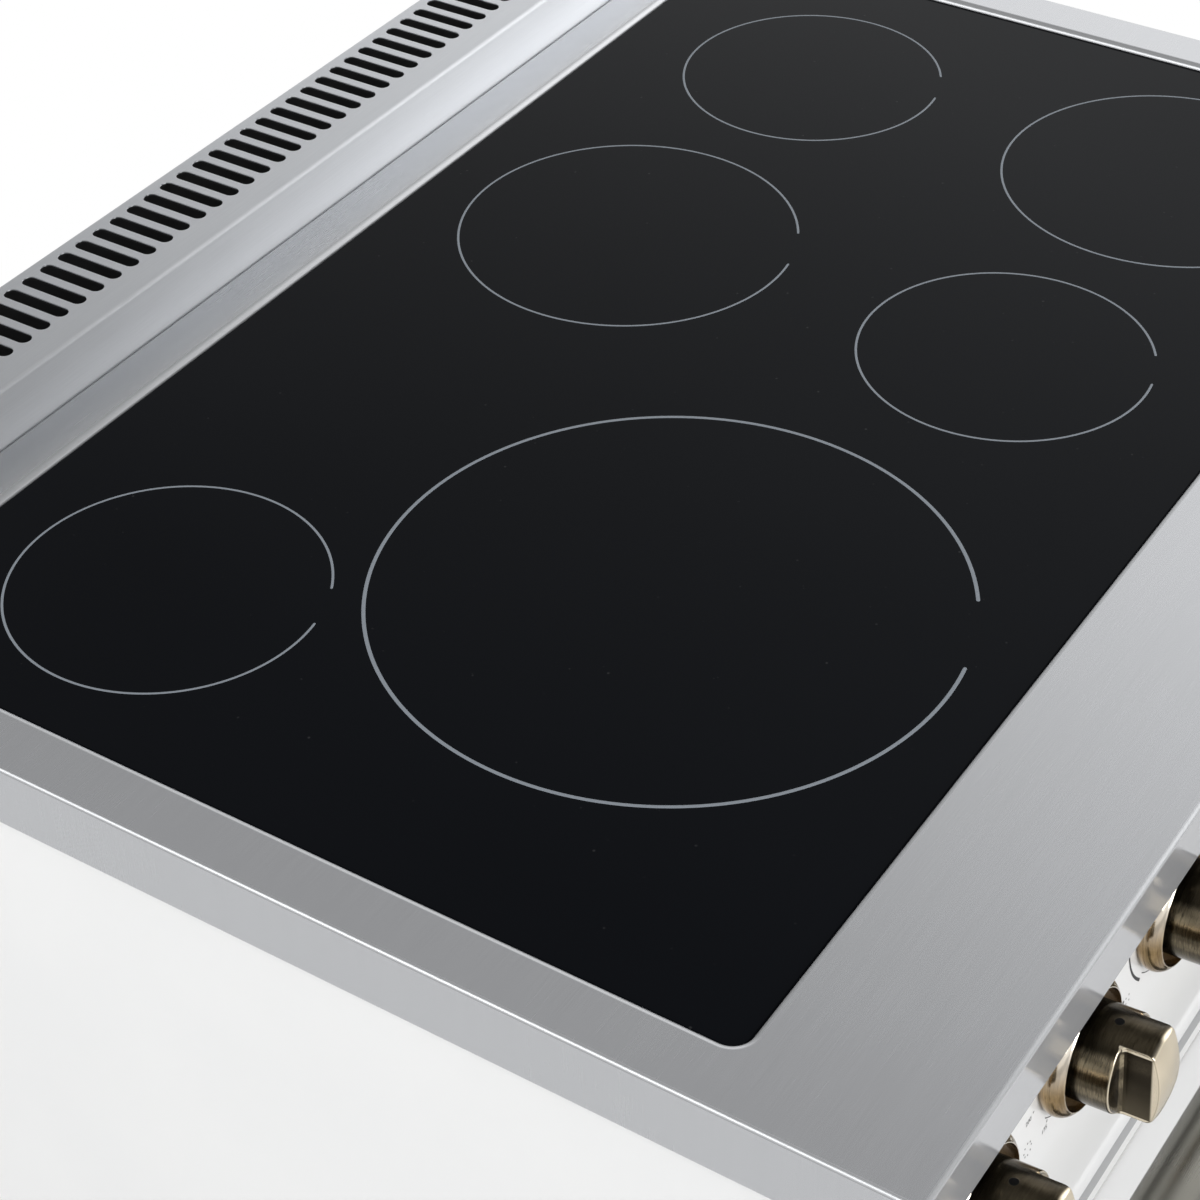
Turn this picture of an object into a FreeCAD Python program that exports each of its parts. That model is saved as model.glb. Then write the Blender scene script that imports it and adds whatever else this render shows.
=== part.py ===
"""A freestanding electric range: ceramic cooktop, sloping control panel, oven, storage drawer and legs.

The origin lies on the floor at the middle of the footprint. +X is to the right of someone who stands in
front of the range, +Y runs to the back and +Z up. Lengths are in millimetres and angles in degrees.
"""

import FreeCAD, Part
import math
import os
from types import SimpleNamespace

import Sketcher

doc = FreeCAD.newDocument("electric_range")
sheet = doc.addObject("Spreadsheet::Sheet", "sheet")

SIZES = {
    # The whole range
    "width": 910.0,
    "body_depth": 706.0,
    "worktop_height": 914.0,
    "steel_gauge": 1.5,
    # Cooktop frame and glass
    "skirt_height": 36.0,
    "frame_corner": 5.0,
    "frame_edge": 2.5,
    "front_border": 100.0,
    "side_border": 34.0,
    "rear_border": 30.0,
    "glass_thickness": 6.0,
    "glass_corner": 9.0,
    "glass_edge": 0.5,
    "glass_drop": 3.0,
    "glass_gap": 0.6,
    "lip_roll": 4.0,
    "ledge_width": 10.0,
    "seat_width": 9.0,
    # Rear vent
    "vent_depth": 74.0,
    "vent_rise": 28.0,
    "vent_lean": 5.0,
    "vent_edge": 2.5,
    "slot_width": 8.7,
    "slot_length": 43.5,
    "slot_pitch": 14.5,
    "slot_setback": 18.4,
    "slot_margin": 30.0,
    # Cooking zones and the radiant elements under them
    "zone_small": 160.0,
    "zone_medium": 195.0,
    "zone_large": 295.0,
    "zone_pair_gap": 16.6,
    "zone_pair_angle": 60.3,
    "zone_pair_shift": 2.4,
    "element_rim": 6.0,
    "element_floor": 6.0,
    "element_height": 32.0,
    "tray_gauge": 1.0,
    "tray_inset": 2.0,
    # Control panel
    "panel_gap": 3.0,
    "panel_height": 157.0,
    "panel_tilt": 4.5,
    "panel_edge": 2.5,
    "panel_hem_height": 5.7,
    "panel_hem_depth": 4.9,
    "lip_overhang": 15.5,
    "knob_drop": 33.5,
    "knob_inner": 85.5,
    "knob_side_room": 65.5,
    # Knobs, bezels, regulators and timer
    "knob_diameter": 46.0,
    "knob_length": 46.0,
    "knob_gap": 1.5,
    "knob_dome": 4.5,
    "knob_edge": 4.0,
    "grip_thickness": 21.5,
    "grip_length": 19.0,
    "grip_root": 3.0,
    "grip_edge": 1.2,
    "dot_diameter": 4.0,
    "dot_depth": 0.6,
    "dot_height": 23.0,
    "stem_diameter": 8.0,
    "stem_length": 24.0,
    "stem_clearance": 0.06,
    "stem_hole_clearance": 0.5,
    "bezel_base": 62.4,
    "bezel_front": 59.0,
    "bezel_height": 11.5,
    "bezel_inset": 2.8,
    "bezel_lip": 0.6,
    "bezel_clearance": 5.5,
    "regulator_side": 42.0,
    "regulator_depth": 40.0,
    "timer_width": 84.0,
    "timer_height": 36.0,
    "timer_rim": 4.0,
    "timer_rise": 2.5,
    "timer_depth": 24.0,
    "timer_clearance": 0.3,
    # Side panels, back, base and front frame
    "side_gap": 0.5,
    "side_overlap": 15.0,
    "seam_notch_gap": 0.5,
    "back_inset": 30.0,
    "front_gauge": 2.0,
    "front_overlap": 20.0,
    "louvre_width": 6.0,
    "louvre_length": 60.0,
    "louvre_pitch": 18.0,
    "louvre_drop": 60.0,
    "louvre_margin": 150.0,
    # Oven door
    "door_setback": 20.0,
    "door_thickness": 42.0,
    "door_height": 415.0,
    "door_gap": 9.0,
    "door_side_gap": 2.0,
    "door_corner": 6.0,
    "door_edge": 4.0,
    "seal_gap": 4.5,
    "window_width": 560.0,
    "window_height": 160.0,
    "window_rise": 100.0,
    "window_corner": 18.0,
    "pane_overlap": 16.0,
    "outer_pane": 5.0,
    "inner_pane": 4.0,
    "liner_thickness": 3.0,
    # Door handle
    "handle_diameter": 32.0,
    "handle_standoff": 43.0,
    "handle_length": 780.0,
    "handle_end": 6.0,
    "handle_drop": 24.0,
    "post_spacing": 640.0,
    "post_diameter": 20.0,
    "post_foot_diameter": 40.0,
    "post_foot": 6.0,
    "post_ring_diameter": 46.0,
    "post_ring_width": 30.0,
    "post_clearance": 0.1,
    # Door hinges
    "hinge_spacing": 640.0,
    "hinge_setback": 14.0,
    "hinge_rise": 10.0,
    "hinge_pin_diameter": 8.0,
    "hinge_pin_clearance": 0.06,
    "hinge_eye_diameter": 17.0,
    "hinge_arm_width": 8.0,
    "hinge_arm_height": 12.0,
    "hinge_cheek": 3.0,
    "hinge_side_gap": 1.0,
    "hinge_notch_gap": 1.5,
    "hinge_cheek_half": 10.0,
    "hinge_cheek_top": 12.0,
    # Oven cavity
    "cavity_side_room": 105.0,
    "cavity_head": 32.0,
    "cavity_depth": 430.0,
    "cavity_wall": 1.2,
    "cavity_corner": 18.0,
    "cavity_rise": 38.0,
    "seal_width": 14.0,
    "seal_inset": 4.0,
    "seal_clearance": 0.4,
    "insulation_thickness": 25.0,
    # Racks, heaters and lamp
    "rack_wire": 6.0,
    "rack_rod": 4.0,
    "rack_rod_pitch": 42.0,
    "rack_side_gap": 16.0,
    "rack_front_gap": 22.0,
    "rack_back_gap": 24.0,
    "guide_wire": 6.0,
    "guide_post": 5.0,
    "guide_pitch": 70.0,
    "guide_floor_gap": 45.0,
    "guide_front_gap": 30.0,
    "guide_back_gap": 12.0,
    "heater_tube": 7.0,
    "heater_drop": 24.0,
    "heater_side_gap": 110.0,
    "heater_front_gap": 60.0,
    "heater_legs": 60.0,
    "lamp_drop": 48.0,
    "lamp_diameter": 44.0,
    "lamp_depth": 14.0,
    "lamp_base": 4.0,
    "lamp_lens_front": 26.0,
    "lamp_lens_back": 40.0,
    # Convection fan
    "fan_space": 58.0,
    "fan_cover_width": 330.0,
    "fan_cover_height": 270.0,
    "fan_diameter": 150.0,
    "fan_depth": 30.0,
    "fan_blade": 1.5,
    "fan_wall_gap": 8.0,
    "fan_hub_diameter": 30.0,
    "fan_shaft_diameter": 8.0,
    "fan_shaft_length": 30.0,
    "fan_shaft_clearance": 0.06,
    "fan_bore_clearance": 0.5,
    "fan_ring_diameter": 196.0,
    "fan_ring_tube": 7.0,
    "fan_stay": 4.0,
    "fan_grille_hole": 14.0,
    "fan_grille_pitch": 52.0,
    "motor_diameter": 76.0,
    "motor_depth": 48.0,
    "motor_clearance": 2.0,
    # Storage drawer
    "drawer_gap": 9.0,
    "drawer_height": 137.0,
    "tray_side_room": 65.0,
    "tray_depth": 520.0,
    "tray_height": 105.0,
    "tray_wall": 1.2,
    "tray_rise": 15.0,
    "tray_mouth_gap": 6.0,
    "runner_height": 16.0,
    "runner_width": 8.0,
    "runner_length": 430.0,
    "runner_rise": 38.0,
    "runner_clearance": 0.4,
    "runner_wall": 2.0,
    "base_drop": 3.0,
    # Legs and feet
    "leg_top_diameter": 58.0,
    "leg_plate_diameter": 74.0,
    "leg_plate": 5.0,
    "leg_bottom_diameter": 38.0,
    "leg_inset": 62.0,
    "foot_diameter": 44.0,
    "foot_height": 9.0,
    "foot_edge": 1.5,
    "foot_stem_diameter": 12.0,
    "foot_stem_length": 60.0,
    "foot_stem_clearance": 0.08,
    "foot_gap": 2.0,
    "foot_bore_spare": 6.0,
    # Supply connection and screws at the back
    "terminal_width": 130.0,
    "terminal_height": 100.0,
    "terminal_depth": 26.0,
    "terminal_side_gap": 90.0,
    "terminal_rise": 70.0,
    "cable_entry_diameter": 20.0,
    "screw_head_diameter": 8.5,
    "screw_head_height": 2.6,
    "screw_diameter": 4.0,
    "screw_length": 8.0,
    "screw_clearance": 0.05,
    "screw_edge": 14.0,
}

# Shares of the glass that the cooking zones leave free
ZONE_SIDE_SHARE = 0.252
ZONE_COLUMN_SHARE = 0.3015
ZONE_ROW_SHARE = 0.228

FAN_BLADES = 8
GRILLE_RINGS = 2
GRILLE_HOLES = 6
SCREWS_PER_SIDE = 5
KNOBS_PER_SIDE = 4
GUIDE_LEVELS = 4
LOWER_RACK_LEVEL = 1
UPPER_RACK_LEVEL = 3
FULL_TURN = 360.0
RIGHT_ANGLE = 90.0
PLACE_TOLERANCE = 1e-4

for row, (alias, number) in enumerate(SIZES.items(), start=1):
    sheet.set(f"A{row}", alias)
    sheet.set(f"B{row}", str(number))
    sheet.setAlias(f"B{row}", alias)
doc.recompute()


class Size:
    """A size worked out from the sheet: its value now, and the expression that binds a property to it."""

    def __init__(self, value, text):
        self.value = value
        self.text = text

    def __add__(self, other):
        other = as_size(other)
        return Size(self.value + other.value, f"({self.text} + {other.text})")

    def __sub__(self, other):
        other = as_size(other)
        return Size(self.value - other.value, f"({self.text} - {other.text})")

    def __mul__(self, other):
        other = as_size(other)
        return Size(self.value * other.value, f"({self.text} * {other.text})")

    def __truediv__(self, other):
        other = as_size(other)
        return Size(self.value / other.value, f"({self.text} / {other.text})")

    def __neg__(self):
        return Size(-self.value, f"(0 - {self.text})")


def as_size(number):
    """Return a Size as it is, and wrap a plain number as one."""
    return number if isinstance(number, Size) else Size(number, repr(number))


def cosine(angle):
    """Cosine of an angle in degrees."""
    return Size(math.cos(math.radians(angle.value)), f"cos({angle.text})")


def sine(angle):
    """Sine of an angle in degrees."""
    return Size(math.sin(math.radians(angle.value)), f"sin({angle.text})")


def whole(number):
    """The whole number at or below a size."""
    return Size(math.floor(number.value), f"floor({number.text})")


size = SimpleNamespace(**{alias: Size(float(getattr(sheet, alias)), f"sheet.{alias}") for alias in SIZES})
ZERO = as_size(0.0)

# Planes and edges that several pieces share
half_width = size.width / 2
handle_radius = size.handle_diameter / 2
handle_reach = size.handle_standoff + size.post_ring_diameter / 2 - size.door_setback
back_y = (size.body_depth + handle_reach) / 2
lip_y = back_y - size.body_depth
seam_y = back_y - size.vent_depth
top_z = size.worktop_height
glass_z = top_z - size.glass_drop
glass_under_z = glass_z - size.glass_thickness
skirt_z = top_z - size.skirt_height
vent_z = top_z + size.vent_rise
glass_half_x = half_width - size.side_border
glass_half_y = (seam_y - lip_y - size.front_border - size.rear_border) / 2
glass_y = lip_y + size.front_border + glass_half_y
opening_x = glass_half_x + size.glass_gap
opening_y = glass_half_y + size.glass_gap
opening_corner = size.glass_corner + size.glass_gap
ledge_z = glass_under_z - size.steel_gauge
side_outer_x = half_width - size.steel_gauge - size.side_gap
side_inner_x = side_outer_x - size.steel_gauge
door_front_y = lip_y + size.door_setback
door_back_y = door_front_y + size.door_thickness
front_y = door_back_y + size.seal_gap
front_back_y = front_y + size.front_gauge
back_panel_y = back_y - size.back_inset
panel_top_y = lip_y + size.lip_overhang
panel_top_z = skirt_z - size.panel_gap
panel_bottom_y = panel_top_y - size.panel_height * sine(size.panel_tilt)
panel_bottom_z = panel_top_z - size.panel_height * cosine(size.panel_tilt)
door_top_z = panel_bottom_z - size.door_gap
door_bottom_z = door_top_z - size.door_height
door_half = side_outer_x - size.door_side_gap
drawer_top_z = door_bottom_z - size.drawer_gap
drawer_bottom_z = drawer_top_z - size.drawer_height
base_z = drawer_bottom_z - size.base_drop
base_top_z = base_z + size.front_gauge
cavity_floor_z = door_bottom_z + size.cavity_rise
cavity_top_z = door_top_z - size.cavity_head
cavity_half = half_width - size.cavity_side_room
cavity_back_y = front_back_y + size.cavity_depth
cavity_mid_z = (cavity_floor_z + cavity_top_z) / 2
tray_half = half_width - size.tray_side_room
hinge_y = door_front_y + size.hinge_setback
hinge_z = door_bottom_z + size.hinge_rise
knob_radius = size.knob_diameter / 2
stem_radius = size.stem_diameter / 2

nodes = []


def bind(item, field, value):
    """Bind one property of an object to a size."""
    item.setExpression(field, as_size(value).text)


def place(item, x=ZERO, y=ZERO, z=ZERO, axis=(0, 0, 1), angle=ZERO):
    """Bind an object's Placement to a point and a turn about an axis through it."""
    point = f"create(<<vector>>; {as_size(x).text}; {as_size(y).text}; {as_size(z).text})"
    around = "create(<<vector>>; {}; {}; {})".format(*axis)
    turn = f"create(<<rotation>>; {around}; {as_size(angle).text})"
    item.setExpression(".Placement", f"create(<<placement>>; {point}; {turn})")


def keep(item, label):
    """Give a finished sub-part its label and add it to the nodes that are written out."""
    item.Label = label
    nodes.append(item)
    return item


def box(name, x, y, z):
    """A block between pairs of limits along X, Y and Z."""
    block = doc.addObject("Part::Box", name)
    bind(block, "Length", x[1] - x[0])
    bind(block, "Width", y[1] - y[0])
    bind(block, "Height", z[1] - z[0])
    place(block, x[0], y[0], z[0])
    return block


ALONG = {"x": ((0, 1, 0), RIGHT_ANGLE), "y": ((-1, 0, 0), RIGHT_ANGLE), "z": ((0, 0, 1), 0.0)}


def rod(name, along, start, length, radius):
    """A round bar that starts at a point and runs along +X, +Y or +Z."""
    bar = doc.addObject("Part::Cylinder", name)
    bind(bar, "Radius", radius)
    bind(bar, "Height", length)
    axis, angle = ALONG[along]
    place(bar, *start, axis=axis, angle=angle)
    return bar


def cut(name, base, *tools):
    """One solid less one or more others."""
    result = doc.addObject("Part::Cut", name)
    result.Base = base
    result.Tool = tools[0] if len(tools) == 1 else group(f"{name}_tools", *tools)
    return result


def fuse(name, *parts):
    """Several solids made into one."""
    result = doc.addObject("Part::MultiFuse", name)
    result.Shapes = list(parts)
    return result


def group(name, *parts):
    """Several solids kept side by side in one sub-part."""
    result = doc.addObject("Part::Compound", name)
    result.Links = list(parts)
    return result


def new_body(name):
    """An empty body for sketches and features."""
    return doc.addObject("PartDesign::Body", name)


def sketch_on(body, name, role, offset=ZERO):
    """A sketch on one of a body's own origin planes, moved along that plane's normal."""
    plane = next(item for item in body.Origin.OriginFeatures if item.Role == role)
    sketch = body.newObject("Sketcher::SketchObject", name)
    sketch.AttachmentSupport = [(plane, "")]
    sketch.MapMode = "FlatFace"
    bind(sketch, ".AttachmentOffset.Base.z", offset)
    return sketch


def hold(sketch, kind, geometry, point, value):
    """Hold one point of a sketch at a distance from the sketch's origin."""
    index = sketch.addConstraint(Sketcher.Constraint(kind, -1, 1, geometry, point, value.value))
    bind(sketch, f"Constraints[{index}]", value)


def outline(sketch, points, close=True):
    """Straight sides through the given points, each point held by its two distances."""
    points = [(as_size(u), as_size(v)) for u, v in points]
    first = sketch.GeometryCount
    corners = [FreeCAD.Vector(u.value, v.value, 0) for u, v in points]
    sides = len(points) if close else len(points) - 1
    for index in range(sides):
        sketch.addGeometry(Part.LineSegment(corners[index], corners[(index + 1) % len(points)]), False)
    for index in range(sides if close else sides - 1):
        following = first + (index + 1) % len(points)
        sketch.addConstraint(Sketcher.Constraint("Coincident", first + index, 2, following, 1))
    for index, (u, v) in enumerate(points):
        line, end = (first + index, 1) if index < sides else (first + sides - 1, 2)
        hold(sketch, "DistanceX", line, end, u)
        hold(sketch, "DistanceY", line, end, v)
    return first


def rounded_rectangle(sketch, across, up, corner):
    """A rectangle between two limits each way with four equal round corners."""
    low_u, high_u = across
    low_v, high_v = up
    left, right, low, high = low_u.value, high_u.value, low_v.value, high_v.value
    radius = corner.value
    first = sketch.GeometryCount
    ends = [
        ((left + radius, low), (right - radius, low)),
        ((right, low + radius), (right, high - radius)),
        ((right - radius, high), (left + radius, high)),
        ((left, high - radius), (left, low + radius)),
    ]
    centres = [
        (right - radius, low + radius),
        (right - radius, high - radius),
        (left + radius, high - radius),
        (left + radius, low + radius),
    ]
    for start, end in ends:
        sketch.addGeometry(Part.LineSegment(FreeCAD.Vector(*start, 0), FreeCAD.Vector(*end, 0)), False)
    for quarter, centre in enumerate(centres):
        circle = Part.Circle(FreeCAD.Vector(*centre, 0), FreeCAD.Vector(0, 0, 1), radius)
        begin = math.radians(RIGHT_ANGLE * (quarter - 1))
        sketch.addGeometry(Part.ArcOfCircle(circle, begin, begin + math.pi / 2), False)
    for side in range(4):
        arc = first + 4 + side
        sketch.addConstraint(Sketcher.Constraint("Tangent", first + side, 2, arc, 1))
        sketch.addConstraint(Sketcher.Constraint("Tangent", arc, 2, first + (side + 1) % 4, 1))
    sketch.addConstraint(Sketcher.Constraint("Horizontal", first))
    sketch.addConstraint(Sketcher.Constraint("Vertical", first + 1))
    sketch.addConstraint(Sketcher.Constraint("Horizontal", first + 2))
    sketch.addConstraint(Sketcher.Constraint("Vertical", first + 3))
    for side in range(1, 4):
        sketch.addConstraint(Sketcher.Constraint("Equal", first + 4, first + 4 + side))
    index = sketch.addConstraint(Sketcher.Constraint("Radius", first + 4, radius))
    bind(sketch, f"Constraints[{index}]", corner)
    hold(sketch, "DistanceY", first, 1, low_v)
    hold(sketch, "DistanceX", first + 1, 1, high_u)
    hold(sketch, "DistanceY", first + 2, 1, high_v)
    hold(sketch, "DistanceX", first + 3, 1, low_u)


def circle(sketch, u, v, radius):
    """A full circle about a point."""
    u, v = as_size(u), as_size(v)
    centre = FreeCAD.Vector(u.value, v.value, 0)
    ring = sketch.addGeometry(Part.Circle(centre, FreeCAD.Vector(0, 0, 1), radius.value), False)
    hold(sketch, "DistanceX", ring, 3, u)
    hold(sketch, "DistanceY", ring, 3, v)
    index = sketch.addConstraint(Sketcher.Constraint("Radius", ring, radius.value))
    bind(sketch, f"Constraints[{index}]", radius)


def pad(body, name, sketch, length, backwards=False):
    """Raise a sketch along its normal, or against it."""
    feature = body.newObject("PartDesign::Pad", name)
    feature.Profile = sketch
    bind(feature, "Length", length)
    feature.Reversed = backwards
    return feature


def pocket(body, name, sketch, length, backwards=False):
    """Cut a sketch into the body against its normal, or along it, and see that it removed something."""
    doc.recompute()
    before = body.Shape.Volume
    feature = body.newObject("PartDesign::Pocket", name)
    feature.Profile = sketch
    bind(feature, "Length", length)
    feature.Reversed = backwards
    doc.recompute()
    if not body.Shape.Volume < before:
        raise RuntimeError(f"{name} cuts nothing")
    return feature


def edges_at(feature, test, ends=True):
    """Names of the edges whose middle, and ends where asked, pass a test of their place."""
    doc.recompute()
    names = []
    for number, edge in enumerate(feature.Shape.Edges, start=1):
        low, high = edge.ParameterRange
        points = [edge.valueAt((low + high) / 2)]
        if ends:
            points += [edge.valueAt(low), edge.valueAt(high)]
        if all(test(point) for point in points):
            names.append(f"Edge{number}")
    return names


def near(first, second):
    """Whether two numbers are the same place."""
    return abs(first - second) < PLACE_TOLERANCE


def rounded(body, name, feature, radius, test, ends=True):
    """Round the edges of a feature that pass a test of their place."""
    fillet = body.newObject("PartDesign::Fillet", name)
    fillet.Base = (feature, edges_at(feature, test, ends))
    bind(fillet, "Radius", radius)
    return fillet


def bevelled(body, name, feature, depth, test):
    """Bevel the edges of a feature that pass a test of their place."""
    chamfer = body.newObject("PartDesign::Chamfer", name)
    chamfer.Base = (feature, edges_at(feature, test))
    bind(chamfer, "Size", depth)
    return chamfer


def revolved(body, name, sketch):
    """Turn a sketch on the XZ plane once round the Z axis."""
    feature = body.newObject("PartDesign::Revolution", name)
    feature.Profile = sketch
    feature.ReferenceAxis = (sketch, ["V_Axis"])
    feature.Angle = FULL_TURN
    return feature


def span(middle, half):
    """The two limits that lie the same distance either side of a middle."""
    middle = as_size(middle)
    return middle - half, middle + half


def make_cooktop_frame():
    """Pressed steel frame: a skirt all round, a border, and a lip rolled down to the glass on its ledge."""
    body = new_body("cooktop_frame_body")
    gauge = size.steel_gauge
    skirt = sketch_on(body, "frame_outline", "XY_Plane", skirt_z)
    rounded_rectangle(skirt, span(ZERO, half_width), (lip_y, seam_y), size.frame_corner)
    pad(body, "frame_block", skirt, size.skirt_height)
    hollow = sketch_on(body, "frame_hollow_outline", "XY_Plane", skirt_z)
    inside = (lip_y + gauge, seam_y - gauge)
    rounded_rectangle(hollow, span(ZERO, half_width - gauge), inside, size.frame_corner - gauge)
    pocket(body, "frame_hollow", hollow, size.skirt_height - gauge, backwards=True)

    def round_the_glass(sketch, grow, corner):
        rounded_rectangle(sketch, span(ZERO, opening_x + grow), span(glass_y, opening_y + grow), corner)

    seat = sketch_on(body, "seat_outline", "XY_Plane", ledge_z)
    round_the_glass(seat, size.seat_width, opening_corner + size.seat_width)
    round_the_glass(seat, -size.ledge_width, size.glass_corner)
    pad(body, "seat", seat, top_z - gauge - ledge_z)
    opening = sketch_on(body, "opening_outline", "XY_Plane", top_z)
    round_the_glass(opening, ZERO, opening_corner)
    well = pocket(body, "opening", opening, top_z - glass_under_z)

    def opening_arris(point):
        across = abs(point.x) < opening_x.value + PLACE_TOLERANCE
        along = abs(point.y - glass_y.value) < opening_y.value + PLACE_TOLERANCE
        return near(point.z, top_z.value) and across and along

    lip = rounded(body, "lip_roll", well, size.lip_roll, opening_arris)

    def outer_arris(point):
        at_side = near(abs(point.x), half_width.value)
        at_end = near(point.y, lip_y.value) or near(point.y, seam_y.value)
        return near(point.z, top_z.value) and (at_side or at_end)

    rounded(body, "frame_arris", lip, size.frame_edge, outer_arris)
    return keep(body, "cooktop_frame")


def make_glass():
    """Ceramic glass plate that lies in the frame's opening."""
    body = new_body("glass_body")
    sketch = sketch_on(body, "glass_outline", "XY_Plane", glass_under_z)
    rounded_rectangle(sketch, span(ZERO, glass_half_x), span(glass_y, glass_half_y), size.glass_corner)
    plate = pad(body, "glass_plate", sketch, size.glass_thickness)
    bevelled(body, "glass_arris", plate, size.glass_edge, lambda point: near(point.z, glass_z.value))
    return keep(body, "glass_top")


def make_rear_vent():
    """Folded hood behind the cooktop with one row of slots in its top."""
    body = new_body("rear_vent_body")
    gauge = size.steel_gauge
    arris_y = seam_y + size.vent_lean
    profile = sketch_on(body, "vent_profile", "YZ_Plane", -half_width)
    rear = [(back_y, skirt_z), (back_y, vent_z)]
    outline(profile, [(seam_y, skirt_z)] + rear + [(arris_y, vent_z), (seam_y, top_z)])
    hood = pad(body, "vent_hood", profile, size.width)

    def top_arris(point):
        return near(point.z, vent_z.value)

    rounded(body, "vent_arris", hood, size.vent_edge, top_arris)
    inside = sketch_on(body, "vent_inside", "YZ_Plane", half_width - gauge)
    low, high, front, back = skirt_z, vent_z - gauge, seam_y + gauge, back_y - gauge
    outline(inside, [(front, low), (back, low), (back, high), (arris_y + gauge, high), (front, top_z)])
    pocket(body, "vent_hollow", inside, size.width - gauge * 2)
    half_slot = size.slot_width / 2
    start_y = arris_y + size.slot_setback
    row = size.width - size.slot_margin * 2
    steps = whole(row / size.slot_pitch)
    first_x = -(steps * size.slot_pitch) / 2
    slot = sketch_on(body, "slot_outline", "XY_Plane", vent_z)
    add_slot(slot, first_x, start_y + half_slot, start_y + size.slot_length - half_slot, half_slot)
    opening = pocket(body, "slot", slot, gauge * 2)
    pattern = body.newObject("PartDesign::LinearPattern", "slot_row")
    pattern.Originals = [opening]
    pattern.Direction = (slot, ["H_Axis"])
    bind(pattern, "Length", steps * size.slot_pitch)
    bind(pattern, "Occurrences", steps + 1)
    body.Tip = pattern
    return keep(body, "rear_vent")


def add_slot(sketch, across, start, end, radius):
    """A slot with round ends, along the sketch's second axis."""
    x, low, high, reach = across.value, start.value, end.value, radius.value
    up = FreeCAD.Vector(0, 0, 1)
    upper = Part.ArcOfCircle(Part.Circle(FreeCAD.Vector(x, high, 0), up, reach), 0.0, math.pi)
    lower = Part.ArcOfCircle(Part.Circle(FreeCAD.Vector(x, low, 0), up, reach), math.pi, 2 * math.pi)
    left = Part.LineSegment(FreeCAD.Vector(x - reach, high, 0), FreeCAD.Vector(x - reach, low, 0))
    right = Part.LineSegment(FreeCAD.Vector(x + reach, low, 0), FreeCAD.Vector(x + reach, high, 0))
    pieces = [sketch.addGeometry(item, False) for item in (upper, left, lower, right)]
    for index, piece in enumerate(pieces):
        following = pieces[(index + 1) % len(pieces)]
        sketch.addConstraint(Sketcher.Constraint("Tangent", piece, 2, following, 1))
    sketch.addConstraint(Sketcher.Constraint("Equal", pieces[0], pieces[2]))
    index = sketch.addConstraint(Sketcher.Constraint("Radius", pieces[0], reach))
    bind(sketch, f"Constraints[{index}]", radius)
    hold(sketch, "DistanceX", pieces[0], 3, across)
    hold(sketch, "DistanceY", pieces[0], 3, end)
    hold(sketch, "DistanceX", pieces[2], 3, across)
    hold(sketch, "DistanceY", pieces[2], 3, start)


def zone_places():
    """Centre and diameter of each cooking zone, with the free glass shared out round them."""
    large = size.zone_large / 2
    medium = size.zone_medium / 2
    small = size.zone_small / 2
    pair = large + small + size.zone_pair_gap
    pair_across = pair * cosine(size.zone_pair_angle)
    pair_along = pair * sine(size.zone_pair_angle)
    free_across = glass_half_x * 2 - (small + pair_across + large) - (medium * 3 + small)
    free_rows = glass_half_y * 2 - (medium + small) * 2
    free_pair = glass_half_y * 2 - (small + pair_along + large)
    side_edge = free_across * ZONE_SIDE_SHARE
    row = glass_half_y - free_rows * ZONE_ROW_SHARE - medium
    right = glass_half_x - side_edge - medium
    middle = right - free_across * ZONE_COLUMN_SHARE - medium - small
    left_back_x = -glass_half_x + side_edge + small
    left_back_y = glass_half_y - free_pair / 2 - small - size.zone_pair_shift
    return {
        "left_back": (left_back_x, glass_y + left_back_y, size.zone_small),
        "left_front": (left_back_x + pair_across, glass_y + left_back_y - pair_along, size.zone_large),
        "middle_back": (middle, glass_y + row, size.zone_medium),
        "middle_front": (middle, glass_y - row, size.zone_small),
        "right_back": (right, glass_y + row, size.zone_small),
        "right_front": (right, glass_y - row, size.zone_medium),
    }


def make_elements():
    """A round insulated dish under each cooking zone, with its rim against the glass."""
    floor_z = glass_under_z - size.element_height
    for name, (x, y, diameter) in zone_places().items():
        label = f"element_{name}"
        radius = diameter / 2
        dish = rod(f"{label}_dish", "z", (x, y, floor_z), size.element_height, radius + size.element_rim)
        bowl_z = floor_z + size.element_floor
        bowl = rod(f"{label}_bowl", "z", (x, y, bowl_z), size.element_height, radius)
        keep(cut(f"{label}_solid", dish, bowl), label)


def make_element_tray():
    """Sheet tray that hangs under the glass seat and carries the elements."""
    half_x = opening_x - size.tray_inset
    half_y = opening_y - size.tray_inset
    gauge = size.tray_gauge
    floor_z = glass_under_z - size.element_height
    outside = box("tray_outside", span(ZERO, half_x), span(glass_y, half_y), (floor_z - gauge, ledge_z))
    half_x = half_x - gauge
    half_y = half_y - gauge
    inside = box("tray_inside", span(ZERO, half_x), span(glass_y, half_y), (floor_z, glass_z))
    return keep(cut("tray_solid", outside, inside), "element_tray")


def on_panel(item, across=ZERO, down=ZERO):
    """Place a piece on the sloping panel: its +Z points out of the panel and its +Y up along it."""
    tilt = size.panel_tilt
    y = panel_top_y - down * sine(tilt)
    z = panel_top_z - down * cosine(tilt)
    place(item, across, y, z, axis=(1, 0, 0), angle=as_size(RIGHT_ANGLE) - tilt)
    return item


def knob_places():
    """Distance of each knob from the middle, from left to right."""
    pitch = (side_outer_x - size.knob_side_room - size.knob_inner) / (KNOBS_PER_SIDE - 1)
    right = [size.knob_inner + pitch * step for step in range(KNOBS_PER_SIDE)]
    left = [-place_x for place_x in reversed(right)]
    return left + right


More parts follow.
